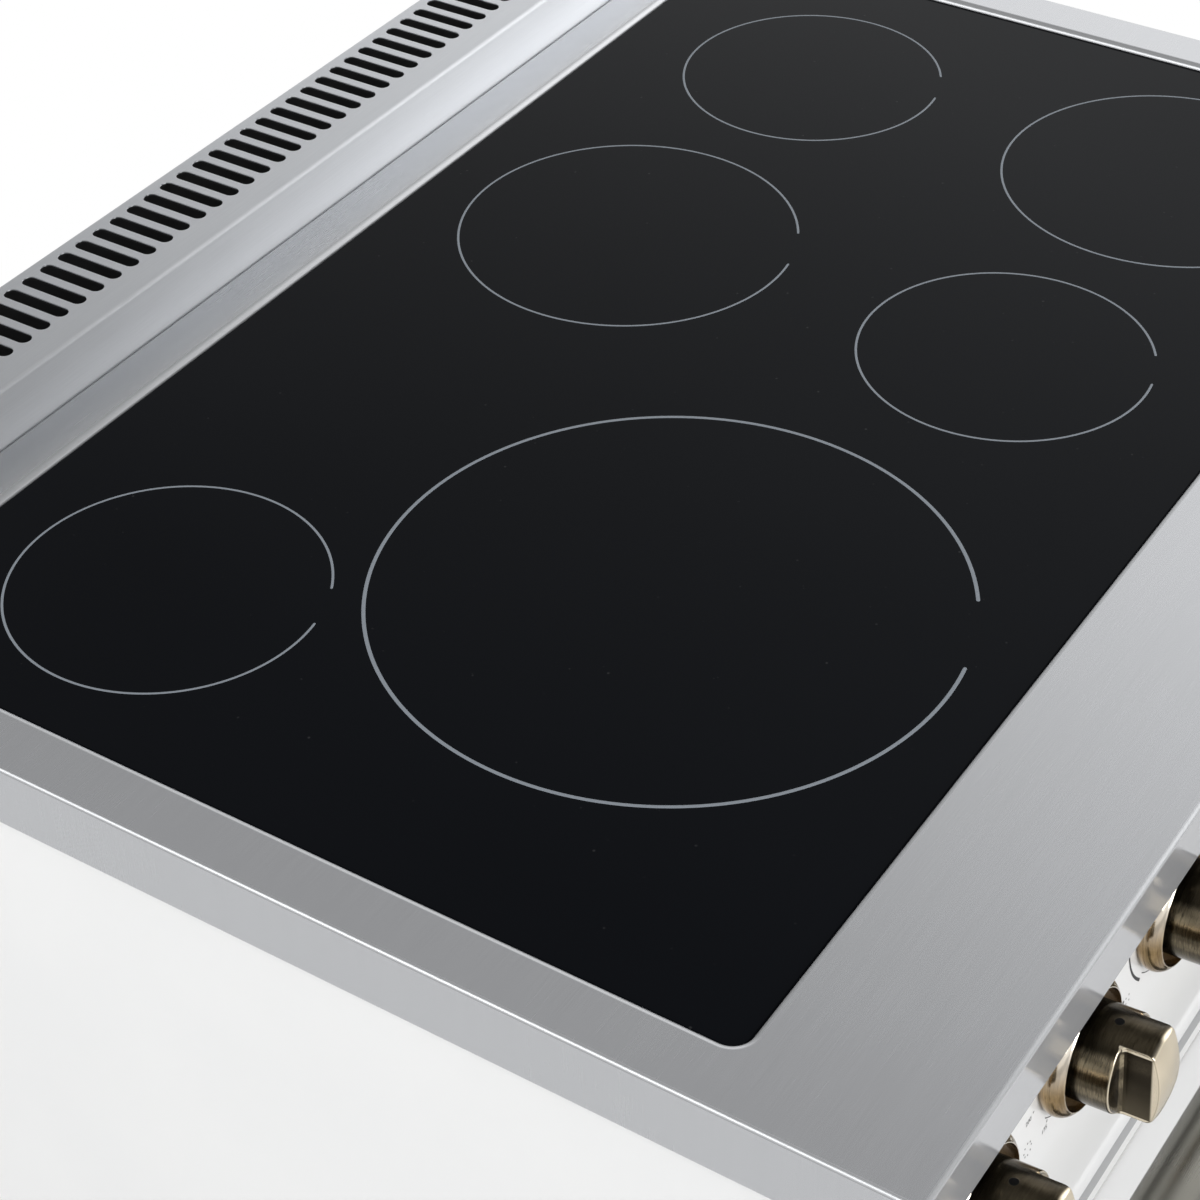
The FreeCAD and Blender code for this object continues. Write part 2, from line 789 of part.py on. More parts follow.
def make_control_panel():
    """Folded panel that leans back over a proud lower hem, with holes for the knob stems and the timer."""
    body = new_body("panel_body")
    gauge = size.steel_gauge
    tilt = size.panel_tilt
    profile = sketch_on(body, "panel_profile", "YZ_Plane", -side_outer_x)
    hem_y = panel_bottom_y - size.panel_hem_depth
    hem_z = panel_bottom_z + size.panel_hem_height
    hem_root_y = panel_bottom_y + size.panel_hem_height * sine(tilt) / cosine(tilt)
    face = [(panel_top_y, panel_top_z), (hem_root_y, hem_z), (hem_y, hem_z), (hem_y, panel_bottom_z)]
    outline(profile, face + [(front_y, panel_bottom_z), (front_y, panel_top_z)])
    block = pad(body, "panel_block", profile, side_outer_x * 2)

    def front_arris(point):
        upper = near(point.y, panel_top_y.value) and near(point.z, panel_top_z.value)
        lower = near(point.y, hem_y.value) and near(point.z, panel_bottom_z.value)
        return upper or lower

    rounded(body, "panel_arris", block, size.panel_edge, front_arris)
    inside = sketch_on(body, "panel_inside", "YZ_Plane", side_inner_x)
    skin = gauge / cosine(tilt)
    lean = gauge * sine(tilt) / cosine(tilt)
    upper = (panel_top_y + skin - lean, panel_top_z - gauge)
    lower = (panel_bottom_y + skin + lean, panel_bottom_z + gauge)
    outline(inside, [upper, lower, (front_y, panel_bottom_z + gauge), (front_y, panel_top_z - gauge)])
    pocket(body, "panel_hollow", inside, side_inner_x * 2)
    reach = gauge * 2
    holes = []
    for number, x in enumerate(knob_places(), start=1):
        hole = doc.addObject("Part::Cylinder", f"stem_hole_{number}")
        bind(hole, "Radius", stem_radius + size.stem_hole_clearance)
        bind(hole, "Height", reach * 2)
        holes.append(hole)
        y = panel_top_y - size.knob_drop * sine(tilt) + reach * cosine(tilt)
        z = panel_top_z - size.knob_drop * cosine(tilt) - reach * sine(tilt)
        place(hole, x, y, z, axis=(1, 0, 0), angle=as_size(RIGHT_ANGLE) - tilt)
    half_u = size.timer_width / 2 + size.timer_clearance
    half_v = size.timer_height / 2 + size.timer_clearance
    middle = -size.knob_drop
    window_block = box("timer_window_block", span(ZERO, half_u), span(middle, half_v), (-reach, reach))
    window = group("timer_window", window_block)
    on_panel(window)
    return keep(cut("panel_solid", body, *holes, window), "control_panel")


def make_bezels():
    """A ring with a rounded flank on the panel round the foot of each knob."""
    bore = knob_radius + size.bezel_clearance
    base = size.bezel_base / 2
    front = size.bezel_front / 2
    high = size.bezel_height
    brow = high - size.bezel_lip
    sketch = doc.addObject("Sketcher::SketchObject", "bezel_profile")
    corners = [(front, brow), (front - size.bezel_lip, high), (bore, high), (bore, ZERO), (base, ZERO)]
    first = outline(sketch, corners, close=False)
    add_flank(sketch, first, first + len(corners) - 2, bore - size.bezel_inset)
    rings = []
    for number, x in enumerate(knob_places(), start=1):
        ring = doc.addObject("Part::Revolution", f"bezel_{number}")
        ring.Source = sketch
        ring.Axis = FreeCAD.Vector(0, 1, 0)
        ring.Angle = FULL_TURN
        ring.Solid = True
        rings.append(ring)
        tilt = size.panel_tilt
        y = panel_top_y - size.knob_drop * sine(tilt)
        z = panel_top_z - size.knob_drop * cosine(tilt)
        place(ring, x, y, z, axis=(-1, 0, 0), angle=as_size(RIGHT_ANGLE * 2) + tilt)
    return keep(group("bezel_rings", *rings), "knob_bezels")


def add_flank(sketch, upper, lower, heart):
    """A round flank from one line's end up to another line's start, about a centre at the given radius."""
    foot = sketch.Geometry[lower].EndPoint
    brow = sketch.Geometry[upper].StartPoint
    chord = brow - foot
    aside = FreeCAD.Vector(chord.y, -chord.x, 0)
    middle = (foot + brow) * 0.5
    centre = middle - aside * ((middle.x - heart.value) / aside.x)
    start = math.atan2(foot.y - centre.y, foot.x - centre.x)
    end = math.atan2(brow.y - centre.y, brow.x - centre.x)
    bow = Part.Circle(centre, FreeCAD.Vector(0, 0, 1), centre.distanceToPoint(foot))
    arc = sketch.addGeometry(Part.ArcOfCircle(bow, start, end), False)
    sketch.addConstraint(Sketcher.Constraint("Coincident", arc, 1, lower, 2))
    sketch.addConstraint(Sketcher.Constraint("Coincident", arc, 2, upper, 1))
    hold(sketch, "DistanceX", arc, 3, heart)


def make_knob(number, x):
    """Turned knob with a domed end, two flats that leave an upright grip, an index dot and its stem."""
    body = new_body(f"knob_body_{number}")
    front = size.knob_gap + size.knob_length
    shoulder = front - size.knob_dome
    profile = sketch_on(body, f"knob_profile_{number}", "XZ_Plane")
    first = outline(profile, [
        (ZERO, front),
        (ZERO, -size.stem_length),
        (stem_radius, -size.stem_length),
        (stem_radius, size.knob_gap),
        (knob_radius, size.knob_gap),
        (knob_radius, shoulder),
    ], close=False)
    dome = size.knob_dome.value
    sphere = (knob_radius.value ** 2 + dome ** 2) / (2 * dome)
    centre = FreeCAD.Vector(0, front.value - sphere, 0)
    start = math.asin((sphere - dome) / sphere)
    ball = Part.Circle(centre, FreeCAD.Vector(0, 0, 1), sphere)
    arc = profile.addGeometry(Part.ArcOfCircle(ball, start, math.pi / 2), False)
    profile.addConstraint(Sketcher.Constraint("Coincident", arc, 1, first + 4, 2))
    profile.addConstraint(Sketcher.Constraint("Coincident", arc, 2, first, 1))
    profile.addConstraint(Sketcher.Constraint("PointOnObject", arc, 3, -2))
    turning = revolved(body, f"knob_turning_{number}", profile)

    def rim(point):
        return near(point.z, shoulder.value) and near(math.hypot(point.x, point.y), knob_radius.value)

    rounded(body, f"knob_rim_{number}", turning, size.knob_edge, rim)
    flats = sketch_on(body, f"grip_flats_{number}", "XY_Plane", front)
    half_grip = size.grip_thickness / 2
    reach = size.knob_diameter
    for side in (1, -1):
        inner, outer = half_grip * side, reach * side
        outline(flats, [(inner, -reach), (outer, -reach), (outer, reach), (inner, reach)])
    cuts = pocket(body, f"grip_cuts_{number}", flats, size.grip_length)
    root_z = front.value - size.grip_length.value

    def grip_root(point):
        return near(point.z, root_z) and near(abs(point.x), half_grip.value)

    root = rounded(body, f"grip_root_{number}", cuts, size.grip_root, grip_root)
    root_top = root_z + size.grip_root.value

    def grip_outline(point):
        return near(abs(point.x), half_grip.value) and point.z > root_top + PLACE_TOLERANCE

    rounded(body, f"grip_edge_{number}", root, size.grip_edge, grip_outline, ends=False)
    dot = sketch_on(body, f"index_dot_{number}", "XZ_Plane", -knob_radius)
    circle(dot, ZERO, size.dot_height, size.dot_diameter / 2)
    pocket(body, f"index_dot_cut_{number}", dot, size.dot_depth, backwards=True)
    on_panel(body, x, size.knob_drop)
    return keep(body, f"knob_{number}")


def make_regulators():
    """The switch body behind each knob, bored for its stem."""
    half = size.regulator_side / 2
    back = -size.steel_gauge - size.regulator_depth
    blocks = []
    for number, x in enumerate(knob_places(), start=1):
        middle = -size.knob_drop
        along = (back, -size.steel_gauge)
        block = box(f"regulator_block_{number}", span(x, half), span(middle, half), along)
        bore = rod(f"regulator_bore_{number}", "z", (x, middle, back), size.regulator_depth,
                   stem_radius + size.stem_clearance)
        blocks.append(cut(f"regulator_{number}", block, bore))
    switches = group("regulator_row", *blocks)
    on_panel(switches)
    return keep(switches, "regulators")


def make_timer():
    """Timer display in the middle of the panel, with a raised rim."""
    half_u = size.timer_width / 2
    half_v = size.timer_height / 2
    rim = size.timer_rim
    middle = -size.knob_drop
    case_depth = (-size.timer_depth, size.timer_rise / 2)
    case = box("timer_case", span(ZERO, half_u), span(middle, half_v), case_depth)
    rim_depth = (ZERO, size.timer_rise)
    flange = box("timer_flange", span(ZERO, half_u + rim), span(middle, half_v + rim), rim_depth)
    screen = box("timer_screen", span(ZERO, half_u - rim), span(middle, half_v - rim),
                 (size.timer_rise / 2, size.timer_rise * 2))
    whole_case = fuse("timer_whole", case, flange)
    timer = cut("timer_solid", whole_case, screen)
    on_panel(timer)
    return keep(timer, "timer_display")


def make_shell():
    """Side panels notched at the rear seam, base, and front frame with the oven and drawer mouths."""
    gauge = size.steel_gauge
    high = skirt_z + size.side_overlap
    spare = size.seam_notch_gap
    notch_y = (seam_y - size.frame_corner - spare, seam_y + gauge + spare)
    for label, sign in (("side_panel_left", -1), ("side_panel_right", 1)):
        limits = sorted((side_inner_x * sign, side_outer_x * sign), key=lambda item: item.value)
        panel = box(f"{label}_sheet", limits, (front_y, back_panel_y), (base_z, high))
        wide = (limits[0] - gauge, limits[1] + gauge)
        notch = box(f"{label}_notch", wide, notch_y, (skirt_z - spare, high + gauge))
        keep(cut(f"{label}_solid", panel, notch), label)
    across = span(ZERO, side_inner_x)
    floor_y = (front_back_y, back_panel_y - gauge)
    keep(box("base_sheet", across, floor_y, (base_z, base_top_z)), "base_frame")
    plate_up = (base_z, panel_bottom_z + size.front_overlap)
    plate = box("front_plate", across, (front_y, front_back_y), plate_up)
    reach = (front_y - size.front_gauge, front_back_y + size.front_gauge)
    oven_mouth = box("oven_mouth", span(ZERO, cavity_half), reach, (cavity_floor_z, cavity_top_z))
    drawer_half = tray_half + size.runner_width + size.runner_wall * 2 + size.tray_mouth_gap
    tray_top = drawer_bottom_z + size.tray_rise + size.tray_height
    mouth_up = (base_top_z + size.tray_mouth_gap, tray_top + size.tray_mouth_gap)
    drawer_mouth = box("drawer_mouth", span(ZERO, drawer_half), reach, mouth_up)
    keep(cut("front_frame_solid", plate, oven_mouth, drawer_mouth), "front_frame")


def screw_places():
    """Centres of the screws along the two sides of the back panel."""
    x = side_inner_x - size.screw_edge
    low = base_z + size.screw_edge
    step = (skirt_z - size.screw_edge - low) / (SCREWS_PER_SIDE - 1)
    return [(x * side, low + step * index) for side in (-1, 1) for index in range(SCREWS_PER_SIDE)]


def make_back_sheet():
    """The back panel's sheet with one row of upright air slots below its top edge."""
    body = new_body("back_sheet_body")
    face = sketch_on(body, "back_outline", "XZ_Plane", -back_panel_y)
    left, right = span(ZERO, side_inner_x)
    outline(face, [(left, base_z), (right, base_z), (right, skirt_z), (left, skirt_z)])
    pad(body, "back_sheet", face, size.steel_gauge)
    row = (side_inner_x - size.louvre_margin) * 2
    steps = whole(row / size.louvre_pitch)
    first_x = -(steps * size.louvre_pitch) / 2
    radius = size.louvre_width / 2
    high = skirt_z - size.louvre_drop - radius
    low = skirt_z - size.louvre_drop - size.louvre_length + radius
    slot = sketch_on(body, "louvre_outline", "XZ_Plane", -back_panel_y)
    add_slot(slot, first_x, low, high, radius)
    opening = pocket(body, "louvre", slot, size.steel_gauge * 2, backwards=True)
    pattern = body.newObject("PartDesign::LinearPattern", "louvre_row")
    pattern.Originals = [opening]
    pattern.Direction = (slot, ["H_Axis"])
    bind(pattern, "Length", steps * size.louvre_pitch)
    bind(pattern, "Occurrences", steps + 1)
    body.Tip = pattern
    return body


def make_back():
    """Back panel with a row of air slots, its screws, and the terminal box for the supply cable."""
    gauge = size.steel_gauge
    sheet_front = back_panel_y - gauge
    plate = make_back_sheet()
    radius = size.screw_diameter / 2
    head_radius = size.screw_head_diameter / 2
    holes = []
    screws = []
    for number, (x, z) in enumerate(screw_places(), start=1):
        start = (x, sheet_front - gauge, z)
        holes.append(rod(f"screw_hole_{number}", "y", start, gauge * 3, radius + size.screw_clearance))
        shank_start = (x, back_panel_y - size.screw_length, z)
        shank = rod(f"screw_shank_{number}", "y", shank_start, size.screw_length, radius)
        head_start = (x, back_panel_y, z)
        head = rod(f"screw_head_{number}", "y", head_start, size.screw_head_height, head_radius)
        screws.append(fuse(f"screw_{number}", shank, head))
    keep(cut("back_panel_solid", plate, *holes), "back_panel")
    keep(group("screw_set", *screws), "screws")
    right = side_inner_x - size.terminal_side_gap
    across = (right - size.terminal_width, right)
    low = base_z + size.terminal_rise
    up = (low, low + size.terminal_height)
    along = (back_panel_y, back_panel_y + size.terminal_depth)
    case = box("terminal_case", across, along, up)
    room = box("terminal_room", (across[0] + gauge, across[1] - gauge), (along[0], along[1] - gauge),
               (up[0] + gauge, up[1] - gauge))
    middle = (across[0] + across[1]) / 2
    depth = (along[0] + along[1] - gauge) / 2
    entry = rod("cable_entry", "z", (middle, depth, low - gauge), gauge * 3, size.cable_entry_diameter / 2)
    keep(cut("terminal_solid", case, room, entry), "terminal_box")


def make_oven():
    """Enamelled cavity with rounded corners, its insulation, and the seal round its mouth."""
    wall = size.cavity_wall
    body = new_body("cavity_body")
    outer = sketch_on(body, "cavity_outside", "XZ_Plane", -(cavity_back_y + wall))
    height = (cavity_floor_z - wall, cavity_top_z + wall)
    rounded_rectangle(outer, span(ZERO, cavity_half + wall), height, size.cavity_corner + wall)
    pad(body, "cavity_block", outer, size.cavity_depth + wall)
    inner = sketch_on(body, "cavity_inside", "XZ_Plane", -front_back_y)
    up = (cavity_floor_z, cavity_top_z)
    rounded_rectangle(inner, span(ZERO, cavity_half), up, size.cavity_corner)
    pocket(body, "cavity_room", inner, size.cavity_depth)
    bore = sketch_on(body, "fan_bore_outline", "XZ_Plane", -(cavity_back_y + wall))
    circle(bore, ZERO, cavity_mid_z, size.fan_shaft_diameter / 2 + size.fan_bore_clearance)
    pocket(body, "fan_bore", bore, wall * 2, backwards=True)
    keep(body, "oven_cavity")

    thick = size.insulation_thickness
    far = cavity_back_y + wall
    room_x = span(ZERO, cavity_half + wall)
    block = box("insulation_block", span(ZERO, cavity_half + wall + thick), (front_back_y, far + thick),
                (height[0] - thick, height[1] + thick))
    room = box("insulation_room", room_x, (front_back_y - thick, far), height)
    well_radius = size.motor_diameter / 2 + size.motor_clearance
    well = rod("motor_well", "y", (ZERO, far - wall, cavity_mid_z), thick + wall * 2, well_radius)
    keep(cut("insulation_solid", block, room, well), "insulation")

    seal = new_body("seal_body")
    ring = sketch_on(seal, "seal_outline", "XZ_Plane", -front_y)
    near_edge = size.seal_inset
    far_edge = size.seal_inset + size.seal_width
    for grow in (near_edge, far_edge):
        edge_up = (cavity_floor_z - grow, cavity_top_z + grow)
        rounded_rectangle(ring, span(ZERO, cavity_half + grow), edge_up, size.cavity_corner + grow)
    pad(seal, "seal_ring", ring, size.seal_gap - size.seal_clearance)
    keep(seal, "door_seal")


def guide_height(level):
    """Height of the middle of one pair of rack guide wires."""
    return cavity_floor_z + size.guide_floor_gap + size.guide_pitch * level


def make_rack_guides():
    """Wire ladders on both side walls that carry the racks."""
    radius = size.guide_wire / 2
    post_radius = size.guide_post / 2
    start_y = front_back_y + size.guide_front_gap
    end_y = cavity_back_y - size.fan_space - size.guide_back_gap
    low = cavity_floor_z + size.cavity_corner
    high = cavity_top_z - size.cavity_corner
    ladders = []
    for side, sign in (("left", -1), ("right", 1)):
        post_x = (cavity_half - post_radius) * sign
        wires = []
        for end, y in (("front", start_y + size.guide_post), ("back", end_y - size.guide_post)):
            wires.append(rod(f"guide_post_{side}_{end}", "z", (post_x, y, low), high - low, post_radius))
        rail_x = (cavity_half - size.guide_post) * sign
        for level in range(GUIDE_LEVELS):
            start = (rail_x, start_y, guide_height(level))
            wires.append(rod(f"guide_rail_{side}_{level}", "y", start, end_y - start_y, radius))
        ladders.append(fuse(f"guide_ladder_{side}", *wires))
    keep(group("guide_ladders", *ladders), "rack_guides")


def make_rack(label, level):
    """Wire rack that lies on one pair of guide wires."""
    radius = size.rack_wire / 2
    z = guide_height(level) + size.guide_wire / 2 + radius
    half = cavity_half - size.guide_wire
    start_y = front_back_y + size.rack_front_gap
    end_y = cavity_back_y - size.fan_space - size.rack_back_gap
    wires = []
    for end, y in (("front", start_y), ("back", end_y)):
        wires.append(rod(f"{label}_{end}", "x", (-half, y, z), half * 2, radius))
    inner = half - size.rack_side_gap
    steps = int(whole(inner * 2 / size.rack_rod_pitch).value)
    pitch = inner * 2 / steps
    for index in range(steps + 1):
        start = (-inner + pitch * index, start_y, z)
        wires.append(rod(f"{label}_rod_{index}", "y", start, end_y - start_y, size.rack_rod / 2))
    keep(fuse(f"{label}_wires", *wires), label)


def bent_tube(points, bend, radius):
    """A round tube along straight runs joined by arcs of one bend radius."""
    edges = []
    start = points[0]

    def add_run(first, last):
        if first.distanceToPoint(last) > PLACE_TOLERANCE:
            edges.append(Part.makeLine(first, last))

    for before, corner, after in zip(points, points[1:], points[2:]):
        back = (before - corner).normalize()
        ahead = (after - corner).normalize()
        half = back.getAngle(ahead) / 2
        set_off = bend / math.tan(half)
        first = corner + back * set_off
        last = corner + ahead * set_off
        bisector = (back + ahead).normalize()
        middle = corner + bisector * (bend / math.sin(half) - bend)
        add_run(start, first)
        edges.append(Part.Arc(first, middle, last).toShape())
        start = last
    add_run(start, points[-1])
    ring = Part.makeCircle(radius, points[0], points[1] - points[0])
    return Part.Wire(edges).makePipeShell([Part.Wire([ring])], True, False)


def make_heaters():
    """Broil element under the cavity's roof, and the lamp on its right wall."""
    z = (cavity_top_z - size.heater_drop).value
    back = cavity_back_y.value
    front = (front_back_y + size.heater_front_gap).value
    turn_back = (cavity_back_y - size.fan_space - size.heater_front_gap).value
    outer = (cavity_half - size.heater_side_gap).value
    legs = size.heater_legs.value
    middle = (outer + legs) / 2
    bend = (outer - legs) / 4
    near_y = front + bend * 2
    half_path = [(legs, back), (legs, near_y), (middle, near_y), (middle, turn_back), (outer, turn_back)]
    half_path.append((outer, front))
    path = half_path + [(-x, y) for x, y in reversed(half_path)]
    points = [FreeCAD.Vector(x, y, z) for x, y in path]
    tube = doc.addObject("Part::Feature", "broil_tube")
    tube.Shape = bent_tube(points, bend, size.heater_tube.value / 2)
    tube.Placement = FreeCAD.Placement()
    keep(tube, "broil_element")

    radius = size.lamp_diameter / 2
    y = front_back_y + size.cavity_depth / 2
    lamp_z = cavity_top_z - size.lamp_drop
    inner_x = cavity_half - size.lamp_base
    base = rod("lamp_base", "x", (inner_x, y, lamp_z), size.lamp_base, radius)
    lens = doc.addObject("Part::Cone", "lamp_lens")
    bind(lens, "Radius1", size.lamp_lens_front / 2)
    bind(lens, "Radius2", size.lamp_lens_back / 2)
    bind(lens, "Height", size.lamp_depth)
    place(lens, inner_x - size.lamp_depth, y, lamp_z, axis=(0, 1, 0), angle=as_size(RIGHT_ANGLE))
    keep(fuse("lamp_solid", base, lens), "oven_lamp")


def make_fan():
    """Convection fan: bladed wheel on its shaft, motor behind the wall, ring heater and pierced cover."""
    wall = size.cavity_wall
    radius = size.fan_diameter / 2
    hub_radius = size.fan_hub_diameter / 2
    shaft_radius = size.fan_shaft_diameter / 2
    disc_y = cavity_back_y - size.fan_wall_gap - size.fan_blade
    front = disc_y - size.fan_depth
    disc = rod("fan_disc", "y", (ZERO, disc_y, cavity_mid_z), size.fan_blade, radius)
    hub = rod("fan_hub", "y", (ZERO, front, cavity_mid_z), size.fan_depth, hub_radius)
    shaft = rod("fan_shaft", "y", (ZERO, disc_y, cavity_mid_z), size.fan_shaft_length, shaft_radius)
    parts = [disc, hub, shaft]
    for index in range(FAN_BLADES):
        blade = box(f"fan_blade_{index}", (hub_radius - size.fan_blade, radius), (front, disc_y),
                    span(ZERO, size.fan_blade / 2))
        turned = group(f"fan_blade_turned_{index}", blade)
        place(turned, z=cavity_mid_z, axis=(0, 1, 0), angle=as_size(FULL_TURN * index / FAN_BLADES))
        parts.append(turned)
    keep(fuse("fan_wheel_solid", *parts), "fan_wheel")

    motor_y = cavity_back_y + wall
    case = rod("motor_case", "y", (ZERO, motor_y, cavity_mid_z), size.motor_depth, size.motor_diameter / 2)
    bore = rod("motor_bore", "y", (ZERO, motor_y, cavity_mid_z), size.fan_shaft_length,
               shaft_radius + size.fan_shaft_clearance)
    keep(cut("motor_solid", case, bore), "fan_motor")

    ring = doc.addObject("Part::Torus", "fan_ring")
    tube = size.fan_ring_tube / 2
    ring_radius = size.fan_ring_diameter / 2
    bind(ring, "Radius1", ring_radius)
    bind(ring, "Radius2", tube)
    ring_y = cavity_back_y - size.fan_wall_gap - size.fan_depth / 2
    place(ring, ZERO, ring_y, cavity_mid_z, axis=(1, 0, 0), angle=as_size(RIGHT_ANGLE))
    stays = []
    for side in (-1, 1):
        start = (ring_radius * side, ring_y, cavity_mid_z)
        reach = cavity_back_y - ring_y
        stays.append(rod(f"fan_ring_stay_{side + 1}", "y", start, reach, size.fan_stay / 2))
    keep(fuse("fan_ring_solid", ring, *stays), "fan_element")

    cover_front = cavity_back_y - size.fan_space
    half_x = size.fan_cover_width / 2
    half_z = size.fan_cover_height / 2
    cover_y = (cover_front, cavity_back_y)
    outside = box("cover_outside", span(ZERO, half_x), cover_y, span(cavity_mid_z, half_z))
    inside = box("cover_inside", span(ZERO, half_x - wall), (cover_front + wall, cavity_back_y + wall),
                 span(cavity_mid_z, half_z - wall))
    holes = []
    for ring_index in range(1, GRILLE_RINGS + 1):
        count = GRILLE_HOLES * ring_index
        for index in range(count):
            turn = 2 * math.pi * index / count
            reach = size.fan_grille_pitch / 2 * ring_index
            start = (reach * math.cos(turn), cover_front - wall, cavity_mid_z + reach * math.sin(turn))
            name = f"cover_hole_{ring_index}_{index}"
            holes.append(rod(name, "y", start, wall * 3, size.fan_grille_hole / 2))
    keep(cut("cover_solid", outside, inside, *holes), "fan_cover")


def hinge_places():
    """Middle of the left and the right door hinge."""
    half = size.hinge_spacing / 2
    return (("left", -half), ("right", half))


def make_door():
    """Door: folded outer panel, inner liner, two panes, with notches that the hinge arms swing through."""
    gauge = size.steel_gauge
    liner_y = door_back_y - size.liner_thickness
    window_low = door_bottom_z + size.window_rise
    window_up = (window_low, window_low + size.window_height)
    window_x = span(ZERO, size.window_width / 2)
    body = new_body("door_body")
    face = sketch_on(body, "door_outline", "XZ_Plane", -door_back_y)
    rounded_rectangle(face, span(ZERO, door_half), (door_bottom_z, door_top_z), size.door_corner)
    block = pad(body, "door_block", face, size.door_thickness)
    rounded(body, "door_arris", block, size.door_edge, lambda point: near(point.y, door_front_y.value))
    room = sketch_on(body, "door_inside", "XZ_Plane", -(door_front_y + gauge))
    inside_up = (door_bottom_z + gauge, door_top_z - gauge)
    rounded_rectangle(room, span(ZERO, door_half - gauge), inside_up, size.door_corner - gauge)
    pocket(body, "door_room", room, size.door_thickness)
    window = sketch_on(body, "door_window", "XZ_Plane", -(door_front_y - gauge))
    rounded_rectangle(window, window_x, window_up, size.window_corner)
    pocket(body, "door_window_cut", window, gauge * 3)

    notch_half = size.hinge_arm_width / 2 + size.hinge_side_gap
    notch_y = (hinge_y - size.hinge_eye_diameter / 2 - size.hinge_notch_gap, front_y)
    notch_top = hinge_z + size.hinge_eye_diameter / 2 + size.hinge_notch_gap
    panel_notches = []
    liner_notches = []
    for side, x in hinge_places():
        limits = (span(x, notch_half), notch_y, (door_bottom_z - gauge, notch_top))
        panel_notches.append(box(f"door_notch_{side}", *limits))
        liner_notches.append(box(f"liner_notch_{side}", *limits))
    keep(cut("door_panel_solid", body, *panel_notches), "door_panel")

    liner = new_body("liner_body")
    sheet_sketch = sketch_on(liner, "liner_outline", "XZ_Plane", -door_back_y)
    rounded_rectangle(sheet_sketch, span(ZERO, door_half - gauge), inside_up, size.door_corner - gauge)
    pad(liner, "liner_plate", sheet_sketch, size.liner_thickness)
    liner_window = sketch_on(liner, "liner_window", "XZ_Plane", -(liner_y - gauge))
    rounded_rectangle(liner_window, window_x, window_up, size.window_corner)
    pocket(liner, "liner_window_cut", liner_window, size.liner_thickness + gauge * 2)
    keep(cut("liner_solid", liner, *liner_notches), "door_liner")

    grow = size.pane_overlap
    pane_x = span(ZERO, size.window_width / 2 + grow)
    pane_up = (window_up[0] - grow, window_up[1] + grow)
    outer_y = door_front_y + gauge
    for label, y, thickness in (("door_glass_outer", outer_y + size.outer_pane, size.outer_pane),
                                ("door_glass_inner", liner_y, size.inner_pane)):
        pane = new_body(f"{label}_body")
        pane_sketch = sketch_on(pane, f"{label}_outline", "XZ_Plane", -y)
        rounded_rectangle(pane_sketch, pane_x, pane_up, size.window_corner)
        pad(pane, f"{label}_plate", pane_sketch, thickness)
        keep(pane, label)


def make_handle():
    """Round bar across the door, held by a turned post near each end."""
    axis_y = door_front_y - size.handle_standoff
    axis_z = door_top_z - size.handle_drop
    body = new_body("handle_body")
    half = size.handle_length / 2
    profile = sketch_on(body, "handle_profile", "XZ_Plane")
    end = size.handle_end
    outline(profile, [
        (ZERO, -half),
        (handle_radius - end, -half),
        (handle_radius, -half + end),
        (handle_radius, half - end),
        (handle_radius - end, half),
        (ZERO, half),
    ])
    revolved(body, "handle_turning", profile)
    place(body, ZERO, axis_y, axis_z, axis=(0, 1, 0), angle=as_size(RIGHT_ANGLE))
    keep(body, "handle_bar")

    posts = []
    for side, sign in (("left", -1), ("right", 1)):
        x = size.post_spacing / 2 * sign
        stem_start = (x, axis_y, axis_z)
        stem = rod(f"post_stem_{side}", "y", stem_start, size.handle_standoff, size.post_diameter / 2)
        foot_start = (x, door_front_y - size.post_foot, axis_z)
        foot = rod(f"post_foot_{side}", "y", foot_start, size.post_foot, size.post_foot_diameter / 2)
        ring_start = (x - size.post_ring_width / 2, axis_y, axis_z)
        ring = rod(f"post_ring_{side}", "x", ring_start, size.post_ring_width, size.post_ring_diameter / 2)
        solid = fuse(f"post_solid_{side}", stem, foot, ring)
        bore_start = (x - size.post_ring_width, axis_y, axis_z)
        bore = rod(f"post_bore_{side}", "x", bore_start, size.post_ring_width * 2,
                   handle_radius + size.post_clearance)
        posts.append(cut(f"post_{side}", solid, bore))
    keep(group("post_pair", *posts), "handle_posts")


def make_hinges():
    """A pin between two cheeks in the door, and the arm on the body whose eye it turns in."""
    pin_radius = size.hinge_pin_diameter / 2
    arm_half = size.hinge_arm_width / 2
    inner = arm_half + size.hinge_side_gap
    outer = inner + size.hinge_cheek
    low = door_bottom_z + size.steel_gauge
    high = hinge_z + size.hinge_cheek_top
    along = span(hinge_y, size.hinge_cheek_half)
    door_side = []
    body_side = []
    for side, x in hinge_places():
        cheeks = [
            box(f"cheek_{side}_near", (x - outer, x - inner), along, (low, high)),
            box(f"cheek_{side}_far", (x + inner, x + outer), along, (low, high)),
        ]
        pin = rod(f"hinge_pin_{side}", "x", (x - outer, hinge_y, hinge_z), outer * 2, pin_radius)
        door_side.append(fuse(f"door_hinge_{side}", *cheeks, pin))
        eye_start = (x - arm_half, hinge_y, hinge_z)
        eye = rod(f"hinge_eye_{side}", "x", eye_start, size.hinge_arm_width, size.hinge_eye_diameter / 2)
        arm = box(f"hinge_arm_{side}", span(x, arm_half), (hinge_y, front_y),
                  span(hinge_z, size.hinge_arm_height / 2))
        solid = fuse(f"hinge_arm_solid_{side}", eye, arm)
        bore_start = (x - outer, hinge_y, hinge_z)
        bore = rod(f"hinge_bore_{side}", "x", bore_start, outer * 2, pin_radius + size.hinge_pin_clearance)
        body_side.append(cut(f"hinge_receiver_{side}", solid, bore))
    keep(group("door_hinge_pair", *door_side), "door_hinges")
    keep(group("hinge_receiver_pair", *body_side), "hinge_receivers")


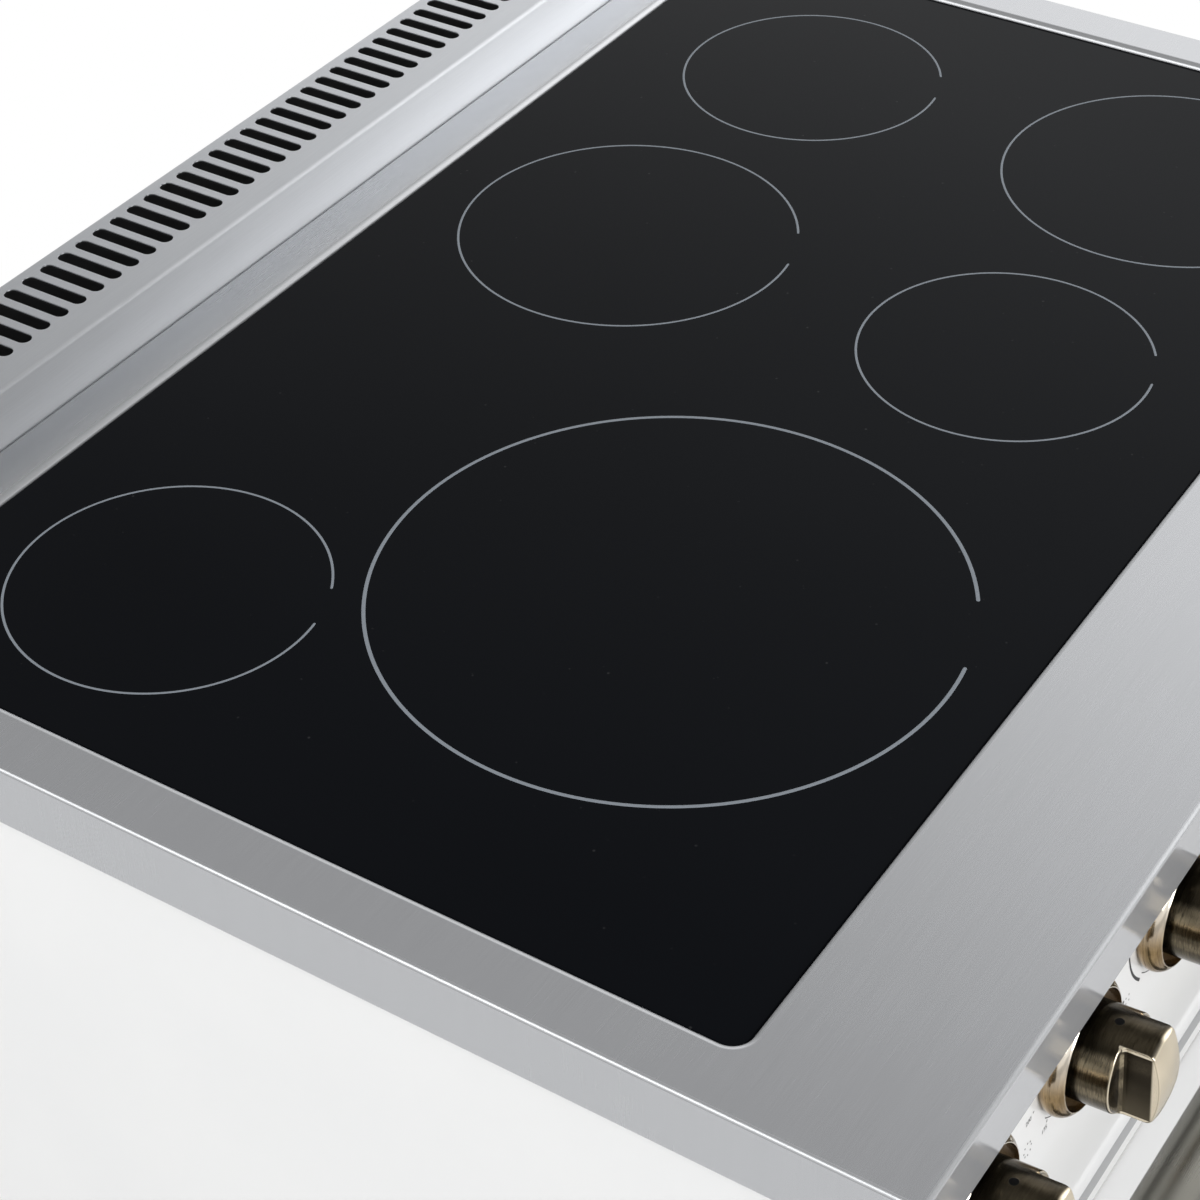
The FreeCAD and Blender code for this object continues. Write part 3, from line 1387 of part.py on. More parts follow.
def make_drawer():
    """Storage drawer: folded front, sheet tray, and runners on both sides."""
    gauge = size.steel_gauge
    body = new_body("drawer_front_body")
    face = sketch_on(body, "drawer_outline", "XZ_Plane", -door_back_y)
    rounded_rectangle(face, span(ZERO, door_half), (drawer_bottom_z, drawer_top_z), size.door_corner)
    block = pad(body, "drawer_block", face, size.door_thickness)
    rounded(body, "drawer_arris", block, size.door_edge, lambda point: near(point.y, door_front_y.value))
    skin_y = door_front_y + gauge
    room = sketch_on(body, "drawer_room_outline", "XZ_Plane", -skin_y)
    room_up = (drawer_bottom_z + gauge, drawer_top_z - gauge)
    rounded_rectangle(room, span(ZERO, door_half - gauge), room_up, size.door_corner - gauge)
    pocket(body, "drawer_room", room, size.door_thickness)
    keep(body, "drawer_front")

    half = tray_half
    wall = size.tray_wall
    floor_z = drawer_bottom_z + size.tray_rise
    rim_z = floor_z + size.tray_height
    end_y = skin_y + size.tray_depth
    outside = box("drawer_outside", span(ZERO, half), (skin_y, end_y), (floor_z, rim_z))
    inside = box("drawer_inside", span(ZERO, half - wall), (skin_y + wall, end_y - wall),
                 (floor_z + wall, rim_z + wall))
    keep(cut("drawer_tray_solid", outside, inside), "drawer_tray")

    low = floor_z + size.runner_rise
    up = (low, low + size.runner_height)
    start_y = end_y - size.runner_length
    along = (start_y, end_y)
    gap = size.runner_clearance
    wall = size.runner_wall
    inner_rails = []
    outer_rails = []
    for side, sign in (("left", -1), ("right", 1)):
        def beyond(near_x, far_x):
            return sorted((near_x * sign, far_x * sign), key=lambda item: item.value)

        rail_x = half + size.runner_width
        inner_rails.append(box(f"inner_rail_{side}", beyond(half, rail_x), along, up))
        web_x = rail_x + gap
        channel_up = (up[0] - gap - wall, up[1] + gap + wall)
        channel = box(f"channel_{side}", beyond(half + gap, web_x + wall), along, channel_up)
        groove = box(f"groove_{side}", beyond(half - gap, web_x), (start_y - wall, end_y + wall),
                     (up[0] - gap, up[1] + gap))
        rail = cut(f"channel_rail_{side}", channel, groove)
        stand = box(f"runner_stand_{side}", beyond(web_x, web_x + wall), along, (base_top_z, channel_up[1]))
        outer_rails.append(fuse(f"outer_rail_{side}", rail, stand))
    keep(group("inner_rail_pair", *inner_rails), "runner_inner")
    keep(group("outer_rail_pair", *outer_rails), "runner_outer")


def make_legs():
    """Tapered legs under the base, each with a levelling foot whose stem runs in the leg."""
    x = side_inner_x - size.leg_inset
    front = front_back_y + size.leg_inset
    back = back_panel_y - size.leg_inset
    leg_low = size.foot_height + size.foot_gap
    plate_z = base_z - size.leg_plate
    stem_radius_foot = size.foot_stem_diameter / 2
    bore_length = size.foot_gap + size.foot_stem_length + size.foot_bore_spare
    legs = []
    for end, y in (("front", front), ("back", back)):
        for side, sign in (("left", -1), ("right", 1)):
            name = f"{end}_{side}"
            place_x = x * sign
            shaft = doc.addObject("Part::Cone", f"leg_shaft_{name}")
            bind(shaft, "Radius1", size.leg_bottom_diameter / 2)
            bind(shaft, "Radius2", size.leg_top_diameter / 2)
            bind(shaft, "Height", plate_z - leg_low)
            place(shaft, place_x, y, leg_low)
            plate = rod(f"leg_plate_{name}", "z", (place_x, y, plate_z), size.leg_plate,
                        size.leg_plate_diameter / 2)
            bore = rod(f"leg_bore_{name}", "z", (place_x, y, size.foot_height), bore_length,
                       stem_radius_foot + size.foot_stem_clearance)
            legs.append(cut(f"leg_{name}", fuse(f"leg_solid_{name}", shaft, plate), bore))

            body = new_body(f"foot_body_{name}")
            profile = sketch_on(body, f"foot_profile_{name}", "XZ_Plane")
            radius = size.foot_diameter / 2
            edge = size.foot_edge
            outline(profile, [
                (ZERO, ZERO),
                (radius - edge, ZERO),
                (radius, edge),
                (radius, size.foot_height - edge),
                (radius - edge, size.foot_height),
                (stem_radius_foot, size.foot_height),
                (stem_radius_foot, size.foot_height + size.foot_gap + size.foot_stem_length),
                (ZERO, size.foot_height + size.foot_gap + size.foot_stem_length),
            ])
            revolved(body, f"foot_turning_{name}", profile)
            place(body, place_x, y, ZERO)
            keep(body, f"foot_{name}")
    keep(group("leg_set", *legs), "legs")


def check_document():
    """Stop if any object failed or any sub-part has no valid solid."""
    for item in doc.Objects:
        if "Invalid" in item.State or "Error" in item.State:
            raise RuntimeError(f"{item.Name} failed: {item.State}")
    for node in nodes:
        if node.Shape.isNull() or not node.Shape.isValid() or not node.Shape.Solids:
            raise RuntimeError(f"{node.Label} has no valid solid")


def main():
    """Build every sub-part, check the document and write one file for each node."""
    make_cooktop_frame()
    make_glass()
    make_rear_vent()
    make_elements()
    make_element_tray()
    make_control_panel()
    make_bezels()
    for number, x in enumerate(knob_places(), start=1):
        make_knob(number, x)
    make_regulators()
    make_timer()
    make_shell()
    make_back()
    make_oven()
    make_rack_guides()
    make_rack("oven_rack_lower", LOWER_RACK_LEVEL)
    make_rack("oven_rack_upper", UPPER_RACK_LEVEL)
    make_heaters()
    make_fan()
    make_door()
    make_handle()
    make_hinges()
    make_drawer()
    make_legs()
    doc.recompute()
    check_document()
    os.makedirs("parts", exist_ok=True)
    for node in nodes:
        node.Shape.exportStep(f"parts/{node.Label}.step")
    print(f"{len(nodes)} sub-parts written")


main()
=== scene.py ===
"""Looks of a freestanding electric range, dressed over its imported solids.

Lengths are in metres in the part's own frame: the origin lies on the floor at the middle of the footprint, +X runs
to the right of someone who stands in front of the range, +Y to the back and +Z up.
"""

import logging
import math
from dataclasses import dataclass
from enum import Enum
from functools import cache
from typing import Iterable, NamedTuple, Self, Sequence

import bmesh
import bpy
from mathutils import Matrix, Vector


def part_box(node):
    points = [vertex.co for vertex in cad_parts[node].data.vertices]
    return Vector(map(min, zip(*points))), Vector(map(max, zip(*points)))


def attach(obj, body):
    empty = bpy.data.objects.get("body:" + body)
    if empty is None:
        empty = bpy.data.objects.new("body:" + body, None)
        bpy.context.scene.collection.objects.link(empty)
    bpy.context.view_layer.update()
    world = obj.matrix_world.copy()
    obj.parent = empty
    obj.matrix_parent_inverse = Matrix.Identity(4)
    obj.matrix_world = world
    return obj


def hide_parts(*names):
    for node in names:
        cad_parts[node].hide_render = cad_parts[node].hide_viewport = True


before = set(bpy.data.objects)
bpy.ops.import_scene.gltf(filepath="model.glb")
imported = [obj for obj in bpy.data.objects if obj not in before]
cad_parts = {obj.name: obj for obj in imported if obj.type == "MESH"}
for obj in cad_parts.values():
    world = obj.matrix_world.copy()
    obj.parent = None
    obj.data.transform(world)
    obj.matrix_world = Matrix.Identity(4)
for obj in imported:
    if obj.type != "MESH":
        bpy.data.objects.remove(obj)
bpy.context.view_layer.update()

LOG = logging.getLogger("electric_range")

Colour = tuple[float, float, float]
Span = tuple[float, float]

UNIT: Span = (0.0, 1.0)
PURE_WHITE: Colour = (1.0, 1.0, 1.0)
ACROSS, BACK, UP = Vector((1, 0, 0)), Vector((0, 1, 0)), Vector((0, 0, 1))
VALUE = "NodeSocketFloat"
# A face counts as facing along an axis when its normal has more than this share of it.
FACING = 0.6


class Signal:
    """An output in a shader tree that is reckoned with like a number."""

    def __init__(self, shader: "Shader", socket: bpy.types.NodeSocket) -> None:
        """Hold an output and the shader that it belongs to."""
        self.shader, self.socket = shader, socket

    def __add__(self, other: object) -> "Signal":
        """The sum of both."""
        return self.shader.math("ADD", self, other)

    def __sub__(self, other: object) -> "Signal":
        """This less the other."""
        return self.shader.math("SUBTRACT", self, other)

    def __rsub__(self, other: float) -> "Signal":
        """A number less this."""
        return self.shader.math("SUBTRACT", other, self)

    def __mul__(self, other: object) -> "Signal":
        """The product of both."""
        return self.shader.math("MULTIPLY", self, other)

    def __gt__(self, other: object) -> "Signal":
        """One where this is greater, or else nought."""
        return self.shader.math("GREATER_THAN", self, other)

    def __lt__(self, other: object) -> "Signal":
        """One where this is less, or else nought."""
        return self.shader.math("LESS_THAN", self, other)

    def __abs__(self) -> "Signal":
        """This without its sign."""
        return self.shader.math("ABSOLUTE", self)

    def most(self, other: object) -> "Signal":
        """The greater of both."""
        return self.shader.math("MAXIMUM", self, other)

    def remap(self, source: Span, target: Span = UNIT, smooth: bool = False) -> "Signal":
        """Map this from one range to another, held at its ends.

        Args:
            source: The two values that come in.
            target: What they become.
            smooth: Whether the change eases in and out.

        Returns:
            The mapped output.
        """
        ends = {"From Min": source[0], "From Max": source[1], "To Min": target[0], "To Max": target[1]}
        kind = "SMOOTHSTEP" if smooth else "LINEAR"
        return self.shader.node("ShaderNodeMapRange", {"Value": self, **ends}, interpolation_type=kind)[0]

    def ease(self, source: Span, target: Span = UNIT) -> "Signal":
        """Map this like remap, easing in and out."""
        return self.remap(source, target, smooth=True)


@dataclass(frozen=True)
class Placed:
    """A node in its tree, whose outputs are had by name or number."""

    shader: "Shader"
    node: bpy.types.Node

    def __getitem__(self, key: str | int) -> Signal:
        """One of the outputs."""
        return Signal(self.shader, self.node.outputs[key])


class Shader:
    """Places and joins the nodes of one shader tree."""

    column: float = 190.0
    row: float = 320.0
    per_row: int = 12

    def __init__(self, tree: bpy.types.NodeTree) -> None:
        """Start on the tree of a material, a group or the world."""
        self.tree, self.count = tree, 0

    @classmethod
    def fresh(cls, owner: bpy.types.Material | bpy.types.World) -> Self:
        """Start on the emptied tree of a material or the world.

        Args:
            owner: The material or world.

        Returns:
            The shader.
        """
        owner.use_nodes = True
        owner.node_tree.nodes.clear()
        return cls(owner.node_tree)

    def put(self, value: object, socket: bpy.types.NodeSocket) -> None:
        """Link an output to a socket, or set a plain value on it.

        Args:
            value: The output, number, vector or colour.
            socket: Where it goes.
        """
        if isinstance(value, Signal):
            self.tree.links.new(value.socket, socket)
        else:
            socket.default_value = (*value, 1.0) if socket.type == "RGBA" else value

    def node(self, kind: str, inputs: dict | None = None, **settings: object) -> Placed:
        """Add one node.

        Args:
            kind: The node's type name.
            inputs: What goes into its sockets, by name or number.
            **settings: Properties of the node.

        Returns:
            The new node.
        """
        node = self.tree.nodes.new(kind)
        node.location = (self.column * (self.count % self.per_row), -self.row * (self.count // self.per_row))
        self.count += 1
        for name, value in settings.items():
            setattr(node, name, value)
        for name, value in (inputs or {}).items():
            self.put(value, node.inputs[name])
        return Placed(self, node)

    def math(self, operation: str, first: object, second: object = 0.0, clamp: bool = False) -> Signal:
        """One sum on two values, held between 0 and 1 if clamp is set."""
        return self.node("ShaderNodeMath", {0: first, 1: second}, operation=operation, use_clamp=clamp)[0]

    def vector(self, operation: str, first: object, second: object, result: str = "Vector") -> Signal:
        """One sum on two vectors, with its Vector or its Value as the result."""
        return self.node("ShaderNodeVectorMath", {0: first, 1: second}, operation=operation)[result]

    def blend(self, share: object, low: object, high: object) -> Signal:
        """A mix of two colours with a share of the second."""
        return self.node("ShaderNodeMix", {0: share, 6: low, 7: high}, data_type="RGBA")[2]

    def noise(self, vector: Signal, scale: object, detail: float, rough: float = 0.55) -> Signal:
        """Noise of about 0 to 1 at a vector, with so many octaves and a weight of the finer ones."""
        inputs = {"Vector": vector, "Scale": scale, "Detail": detail, "Roughness": rough}
        return self.node("ShaderNodeTexNoise", inputs)[0]

    def cells(self, vector: Signal, scale: object) -> Placed:
        """Cells round scattered points."""
        return self.node("ShaderNodeTexVoronoi", {"Vector": vector, "Scale": scale})

    def place(self) -> Signal:
        """The surface point in the piece's own frame, which is the part's frame at rest."""
        return self.node("ShaderNodeTexCoord")["Object"]

    def geometry(self, name: str) -> Signal:
        """One of the surface's own vectors."""
        return self.node("ShaderNodeNewGeometry")[name]

    def parts(self, vector: Signal) -> tuple[Signal, ...]:
        """The three parts of a vector."""
        split = self.node("ShaderNodeSeparateXYZ", {0: vector})
        return tuple(split[index] for index in range(3))

    def join(self, x: object, y: object, z: object) -> Signal:
        """A vector of three parts."""
        return self.node("ShaderNodeCombineXYZ", {0: x, 1: y, 2: z})[0]

    def length(self, x: Signal, y: Signal) -> Signal:
        """The distance that two distances at right angles make."""
        return self.math("SQRT", x * x + y * y)

    def group(self, tree: bpy.types.NodeTree, **inputs: object) -> Placed:
        """Place a node group, with what goes into it by name."""
        return self.node("ShaderNodeGroup", inputs, node_tree=tree)

    def bump(self, height: Signal, strength: float, distance: float) -> Signal:
        """A normal bent by a height, whose full step is a distance in metres."""
        return self.node("ShaderNodeBump", {"Height": height, "Strength": strength, "Distance": distance})[0]


class Coat(Shader):
    """Shader tree of one material, with the surface that a finish fills."""

    def __init__(self, tree: bpy.types.NodeTree) -> None:
        """Start with a bare surface.

        Args:
            tree: The material's emptied tree.
        """
        super().__init__(tree)
        self.surface = self.node("ShaderNodeBsdfPrincipled")
        self.node("ShaderNodeOutputMaterial", {0: self.surface[0]})

    def feed(self, **inputs: object) -> None:
        """Fill the surface's sockets, named with _ for spaces."""
        for name, value in inputs.items():
            self.put(value, self.surface.node.inputs[name.replace("_", " ")])

    def fed(self, name: str) -> Signal:
        """What one of the surface's sockets is linked to."""
        return Signal(self, self.surface.node.inputs[name].links[0].from_socket)

    def comb(self, lay: object, share: float) -> None:
        """Stretch the gloss by a share across the lay of fine scratches."""
        self.feed(Anisotropic=share, Tangent=self.vector("CROSS_PRODUCT", self.geometry("Normal"), lay))


def open_group(name: str, *inputs: str) -> tuple[Shader, list[Signal]]:
    """Start a shader group whose inputs are values.

    Args:
        name: The group's name.
        *inputs: Names of its inputs.

    Returns:
        A shader on the group's tree, and its inputs in order.
    """
    shader = Shader(bpy.data.node_groups.new(name, "ShaderNodeTree"))
    for label in inputs:
        shader.tree.interface.new_socket(name=label, in_out="INPUT", socket_type=VALUE)
    entry = shader.node("NodeGroupInput")
    return shader, [entry[label] for label in inputs]


def close_group(shader: Shader, **outputs: Signal) -> bpy.types.NodeTree:
    """Give a shader group its outputs.

    Args:
        shader: The shader on the group's tree.
        **outputs: The values that it puts out, by name.

    Returns:
        The group's tree.
    """
    for label in outputs:
        shader.tree.interface.new_socket(name=label, in_out="OUTPUT", socket_type=VALUE)
    shader.node("NodeGroupOutput", outputs)
    return shader.tree


@cache
def folded_sheet() -> bpy.types.NodeTree:
    """Distances along and across the brushing of a sheet brushed left to right and then folded down at its edges.

    Returns:
        The group's tree.
    """
    shader, _ = open_group("folded_sheet")
    x, y, z = shader.parts(shader.place())
    front = abs(shader.parts(shader.geometry("True Normal"))[1]) > FACING
    level = 1.0 - front
    return close_group(shader, Along=x + z * level, Across=y * level + z * front)


@cache
def brushed_grain() -> bpy.types.NodeTree:
    """Streaks of a straight brushing: fine lines and broader bands, long in the direction of Along.

    Returns:
        The group's tree.
    """
    shader, (along, across, depth, fineness) = open_group("brushed_grain", "Along", "Across", "Depth", "Fineness")
    streak, band = 0.02, 0.1
    drawn = shader.join(along * streak, across, depth)
    return close_group(shader, Line=shader.noise(drawn, fineness, 4.0, 0.65),
                       Band=shader.noise(drawn, fineness * band, 2.0, 0.5))


@cache
def turned_grain() -> bpy.types.NodeTree:
    """Fine rings left by turning, round an axis that Across and Up are measured from, with broad tarnish.

    Returns:
        The group's tree.
    """
    shader, (across, up, along, fineness) = open_group("turned_grain", "Across", "Up", "Along", "Fineness")
    wander, patches = 0.0022, 85.0
    angle = shader.math("ARCTAN2", up, across)
    ring = shader.noise(shader.join(along, shader.length(across, up), angle * wander), fineness, 5.0, 0.7)
    return close_group(shader, Ring=ring, Tarnish=shader.noise(shader.join(across, up, along), patches, 5.0, 0.62))


@cache
def edge_wear() -> bpy.types.NodeTree:
    """Mask of worn edges: where a normal rounded over Width leaves the surface, broken up by noise.

    Returns:
        The group's tree.
    """
    shader, (width, breakup) = open_group("edge_wear", "Width", "Breakup")
    rounded = shader.node("ShaderNodeBevel", {"Radius": width}, samples=4)[0]
    edge = shader.vector("DOT_PRODUCT", rounded, shader.geometry("Normal"), "Value").ease((0.995, 0.86))
    kept = shader.noise(shader.place(), 420.0, 3.0).remap((0.35, 0.65)) * breakup
    return close_group(shader, Wear=shader.math("MULTIPLY", edge, 1.0 - kept, clamp=True))


@cache
def handling() -> bpy.types.NodeTree:
    """Faint smears of wiping and a few specks of dust.

    Returns:
        The group's tree.
    """
    shader, (scale,) = open_group("handling", "Scale")
    place = shader.place()
    dust, drifts = 45.0, 20.0
    smear = shader.noise(place, scale, 4.0, 0.6).ease((0.4, 0.75))
    dots = shader.cells(place, scale * dust)["Distance"].remap((0.16, 0.08))
    return close_group(shader, Smear=smear, Speck=dots * shader.noise(place, scale * drifts, 2.0).remap((0.62, 0.7)))


@cache
def enamel_skin() -> bpy.types.NodeTree:
    """Skin of a fired coat: long soft waves of its flow, a fine peel, and a slight change of tone.

    Returns:
        The group's tree.
    """
    shader, (scale,) = open_group("enamel_skin", "Scale")
    place = shader.place()
    flow, drift, peel = 0.06, 0.012, 0.25
    height = shader.noise(place, scale, 2.0, 0.4) * peel + shader.noise(place, scale * flow, 2.0, 0.5)
    return close_group(shader, Height=height, Tone=shader.noise(place, scale * drift, 3.0, 0.5))


@cache
def flecks() -> bpy.types.NodeTree:
    """Small round flecks scattered in a coat, fewer where Cover is low.

    Returns:
        The group's tree.
    """
    shader, (scale, cover) = open_group("flecks", "Scale", "Cover")
    cells = shader.cells(shader.place(), scale)
    dot = cells["Distance"].ease((0.34, 0.18))
    return close_group(shader, Fleck=dot * (shader.parts(cells["Color"])[0] < cover))


@cache
def spangle() -> bpy.types.NodeTree:
    """Crystals of a zinc coat, each with its own shade, and fine veins.

    Returns:
        The group's tree.
    """
    shader, (scale,) = open_group("spangle", "Scale")
    place = shader.place()
    bend = (0.006, 0.006, 0.006)
    bent = shader.node("ShaderNodeTexNoise", {"Vector": place, "Scale": 40.0, "Detail": 2.0})["Color"]
    moved = shader.vector("ADD", place, shader.vector("MULTIPLY", bent, bend))
    crystal = shader.parts(shader.cells(moved, scale)["Color"])[1]
    return close_group(shader, Crystal=crystal, Vein=shader.noise(place, 900.0, 3.0))


class Brushing(Enum):
    """Direction that a bar was brushed in, as the order of its along, across and depth axes, or a folded sheet."""

    ALONG_X = (0, 1, 2)
    ALONG_Z = (2, 0, 1)
    FOLDED = ()


class Turning(Enum):
    """Set of turned pieces whose axes the rings of a finish run round."""

    KNOBS = "knobs"
    FEET = "feet"


@dataclass(frozen=True)
class PanelPlane:
    """The sloping control panel's face, with the row of knobs on it."""

    tilt: float = math.radians(4.5)
    row_y: float = -0.317128
    row_z: float = 0.841603
    first: float = 0.0855
    pitch: float = 0.302 / 3

    @property
    def up(self) -> Vector:
        """Direction up the face."""
        return Vector((0, math.sin(self.tilt), math.cos(self.tilt)))

    @property
    def out(self) -> Vector:
        """Direction out of the face."""
        return Vector((0, -math.cos(self.tilt), math.sin(self.tilt)))


PANEL = PanelPlane()


class AxisPlace(NamedTuple):
    """Where a surface point lies from the axis of its turned piece."""

    across: Signal
    up: Signal
    along: Signal


@dataclass(frozen=True)
class Finish:
    """A finish that a material is made from once."""

    name: str

    @cache
    def material(self) -> bpy.types.Material:
        """The finish's material, made at its first use.

        Returns:
            The material.
        """
        made = bpy.data.materials.new(f"{self.name}_finish")
        self.paint(Coat.fresh(made))
        return made

    def paint(self, coat: Coat) -> None:
        """Fill the material; each kind of finish has its own way."""
        raise NotImplementedError


@dataclass(frozen=True)
class BrushedMetal(Finish):
    """Sheet or bar brushed in one direction."""

    dark: Colour = (0.605, 0.615, 0.635)
    light: Colour = (0.63, 0.64, 0.66)
    brushing: Brushing = Brushing.FOLDED
    fineness: float = 1500.0
    rough: Span = (0.24, 0.27)
    relief: float = 0.000002
    wear: float = 0.08
    wear_width: float = 0.0012
    wear_rough: float = 0.22
    wear_bright: float = 1.18
    smear_rough: float = 0.03
    band: float = 0.2
    stretch: float = 0.7
    stray: float = 0.05

    def paint(self, coat: Coat) -> None:
        """Streaks in colour, gloss and relief, faint smears and bright worn edges.

        Args:
            coat: The material's coat.
        """
        if self.brushing is Brushing.FOLDED:
            sheet = coat.group(folded_sheet())
            along, across, depth = sheet["Along"], sheet["Across"], 0.0
        else:
            place = coat.parts(coat.place())
            along, across, depth = (place[index] for index in self.brushing.value)
        grain = coat.group(brushed_grain(), Along=along, Across=across, Depth=depth, Fineness=self.fineness)
        smear = coat.group(handling(), Scale=6.0)["Smear"]
        worn = coat.group(edge_wear(), Width=self.wear_width, Breakup=0.5)["Wear"]
        tone = grain["Line"] * (1.0 - self.band) + grain["Band"] * self.band
        drawn = coat.blend(tone.remap((0.36, 0.64)), self.dark, self.light)
        bright = tuple(min(1.0, part * self.wear_bright) for part in self.light)
        gloss = tone.remap((0.35, 0.65), self.rough) + worn * self.wear_rough + smear * self.smear_rough
        coat.feed(Base_Color=coat.blend(worn * self.wear, drawn, bright), Roughness=gloss, Metallic=1.0,
                  Normal=coat.bump(grain["Line"], 0.35, self.relief))
        coat.comb(self.lay(coat), self.stretch)
        self.cover(coat)

    def lay(self, coat: Coat) -> object:
        """Direction of the brushing, which turns down with a folded sheet at its left and right edges.

        Args:
            coat: The material's coat.

        Returns:
            A vector, or the output that gives it.
        """
        if self.brushing is not Brushing.FOLDED:
            return tuple(1.0 if axis == self.brushing.value[0] else self.stray for axis in range(3))
        side = abs(coat.parts(coat.geometry("True Normal"))[0]) > FACING
        return coat.join(1.0 - side, 0.0, side)

    def cover(self, coat: Coat) -> None:
        """Lay anything else over the brushed metal; a plain sheet has nothing more."""


@dataclass(frozen=True)
class HoodMetal(BrushedMetal):
    """Brushed sheet of the vent hood, with painted shade inside it."""

    skin: float = 0.0006
    # Colour and roughness of the painted shade inside the hood.
    inner_painted_shade: Colour = (0.004, 0.004, 0.0045)
    inner_shade_rough: float = 0.6
    lean: float = 0.005

    def cover(self, coat: Coat) -> None:
        """Paint shade, near black, matt and not metallic, on what lies deeper than the sheet's outer skin.

        Args:
            coat: The material's coat.
        """
        low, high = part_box("rear_vent")
        x, y, z = coat.parts(coat.place())
        behind = y - z.remap((low.z, high.z), (0.0, self.lean)) > low.y + self.skin
        before, under = y < high.y - self.skin, z < high.z - self.skin
        inside = behind * before * under * (abs(x) < high.x - self.skin)
        # Painted shade: the hood's inside is near black instead of lit metal.
        coat.feed(Base_Color=coat.blend(inside, coat.fed("Base Color"), self.inner_painted_shade), Metallic=1.0 - inside,
                  Roughness=coat.fed("Roughness") + inside * self.inner_shade_rough)


@dataclass(frozen=True)
class RimMetal(BrushedMetal):
    """Brushed sheet of the cooktop's frame, with a smoother front lip that carries a painted sheen, and painted shade
    on its rounded folds.
    """

    lip_facing: Span = (-0.75, -0.97)
    lip_rough: float = 0.13
    # Share of the front lip that is not metallic: a painted sheen, so the sheet's colour shows there as a pale diffuse
    # coat.
    lip_painted_sheen: float = 0.5
    fold_aside: Span = (0.1, 0.35)
    fold_up: Span = (0.12, 0.35)
    fold_rough: float = 0.14
    # Darker colour on the rounded folds: painted shade that dims their highlight.
    fold_painted_shade: Colour = (0.47, 0.478, 0.49)

    def cover(self, coat: Coat) -> None:
        """Smooth what faces the front and paint a sheen on it, and paint shade on the rounded folds, which are also
        made rougher.

        Args:
            coat: The material's coat.
        """
        x, y, z = coat.parts(coat.geometry("Normal"))
        front = y.ease(self.lip_facing)
        fold = abs(x).most(abs(y)).ease(self.fold_aside) * z.ease(self.fold_up)
        gloss = coat.fed("Roughness")
        polished = (gloss - self.lip_rough) * front
        # The folds' darker colour is painted shade, and the front's lower metallic share is a painted sheen.
        coat.feed(Base_Color=coat.blend(fold, coat.fed("Base Color"), self.fold_painted_shade),
                  Metallic=1.0 - front * self.lip_painted_sheen, Roughness=gloss + fold * self.fold_rough - polished)


@dataclass(frozen=True)
class TurnedMetal(Finish):
    """Turned and tarnished metal with fine rings round its axis and edges rubbed bright."""

    turning: Turning = Turning.KNOBS
    dark: Colour = (0.02, 0.0155, 0.009)
    light: Colour = (0.22, 0.172, 0.1)
    # Colour of bare places, and on the bezel also of its painted highlight.
    rubbed_and_highlight: Colour = (0.82, 0.69, 0.48)
    tarnish: Span = (0.38, 0.7)
    rough: Span = (0.16, 0.26)
    stretch: float = 0.8
    fineness: float = 1300.0
    wear: float = 0.85
    wear_width: float = 0.0011
    relief: float = 0.00003
    patches: float = 0.25

    def about_axis(self, coat: Coat) -> AxisPlace:
        """Distances from the axis of the nearest piece of the set.

        Args:
            coat: The material's coat.

        Returns:
            The distances across, up and along the axis.
        """
        x, y, z = coat.parts(coat.place())
        side = abs(x)
        if self.turning is Turning.FEET:
            half_x, mid_y, half_y = Legs.places()
            return AxisPlace(side - half_x, abs(y - mid_y) - half_y, z)
        half = PANEL.pitch / 2
        step = coat.math("FLOORED_MODULO", side - (PANEL.first - half), PANEL.pitch)
        back, rise = y - PANEL.row_y, z - PANEL.row_z
        up, along = (back * way.y + rise * way.z for way in (PANEL.up, PANEL.out))
        return AxisPlace(step - half, up, along)

    def paint(self, coat: Coat) -> None:
        """Rings in colour, gloss and relief, patches of tarnish and rubbed edges.

        Args:
            coat: The material's coat.
        """
        at = self.about_axis(coat)
        grain = coat.group(turned_grain(), Across=at.across, Up=at.up, Along=at.along, Fineness=self.fineness)
        worn = coat.group(edge_wear(), Width=self.wear_width, Breakup=0.35)["Wear"]
        ring = grain["Ring"].remap((0.3, 0.7))
        patch = grain["Tarnish"].ease(self.tarnish)
        tone = ring * (1.0 - self.patches) + patch * self.patches
        # Subclasses paint reflection bands and shade into the tone, and a highlight into the bare mask.
        body = coat.blend(self.toned(tone, at), self.dark, self.light)
        coat.feed(Base_Color=coat.blend(self.bare_and_highlight(worn * self.wear, at), body, self.rubbed_and_highlight), Metallic=1.0,
                  Roughness=ring.remap(UNIT, self.rough), Normal=coat.bump(grain["Ring"], 0.5, self.relief))
        axis = UP if self.turning is Turning.FEET else PANEL.out
        coat.comb(coat.vector("CROSS_PRODUCT", axis, coat.geometry("Normal")), self.stretch)

    def toned(self, share: Signal, at: AxisPlace) -> Signal:
        """Tone of the coat from dark to light; a plain turned piece keeps its rings and patches."""
        return share

    def bare_and_highlight(self, edge: Signal, at: AxisPlace) -> Signal:
        """Where the coat is rubbed off, and where a painted highlight lies; a plain turned piece has only its worn
        edges bare.
        """
        return edge


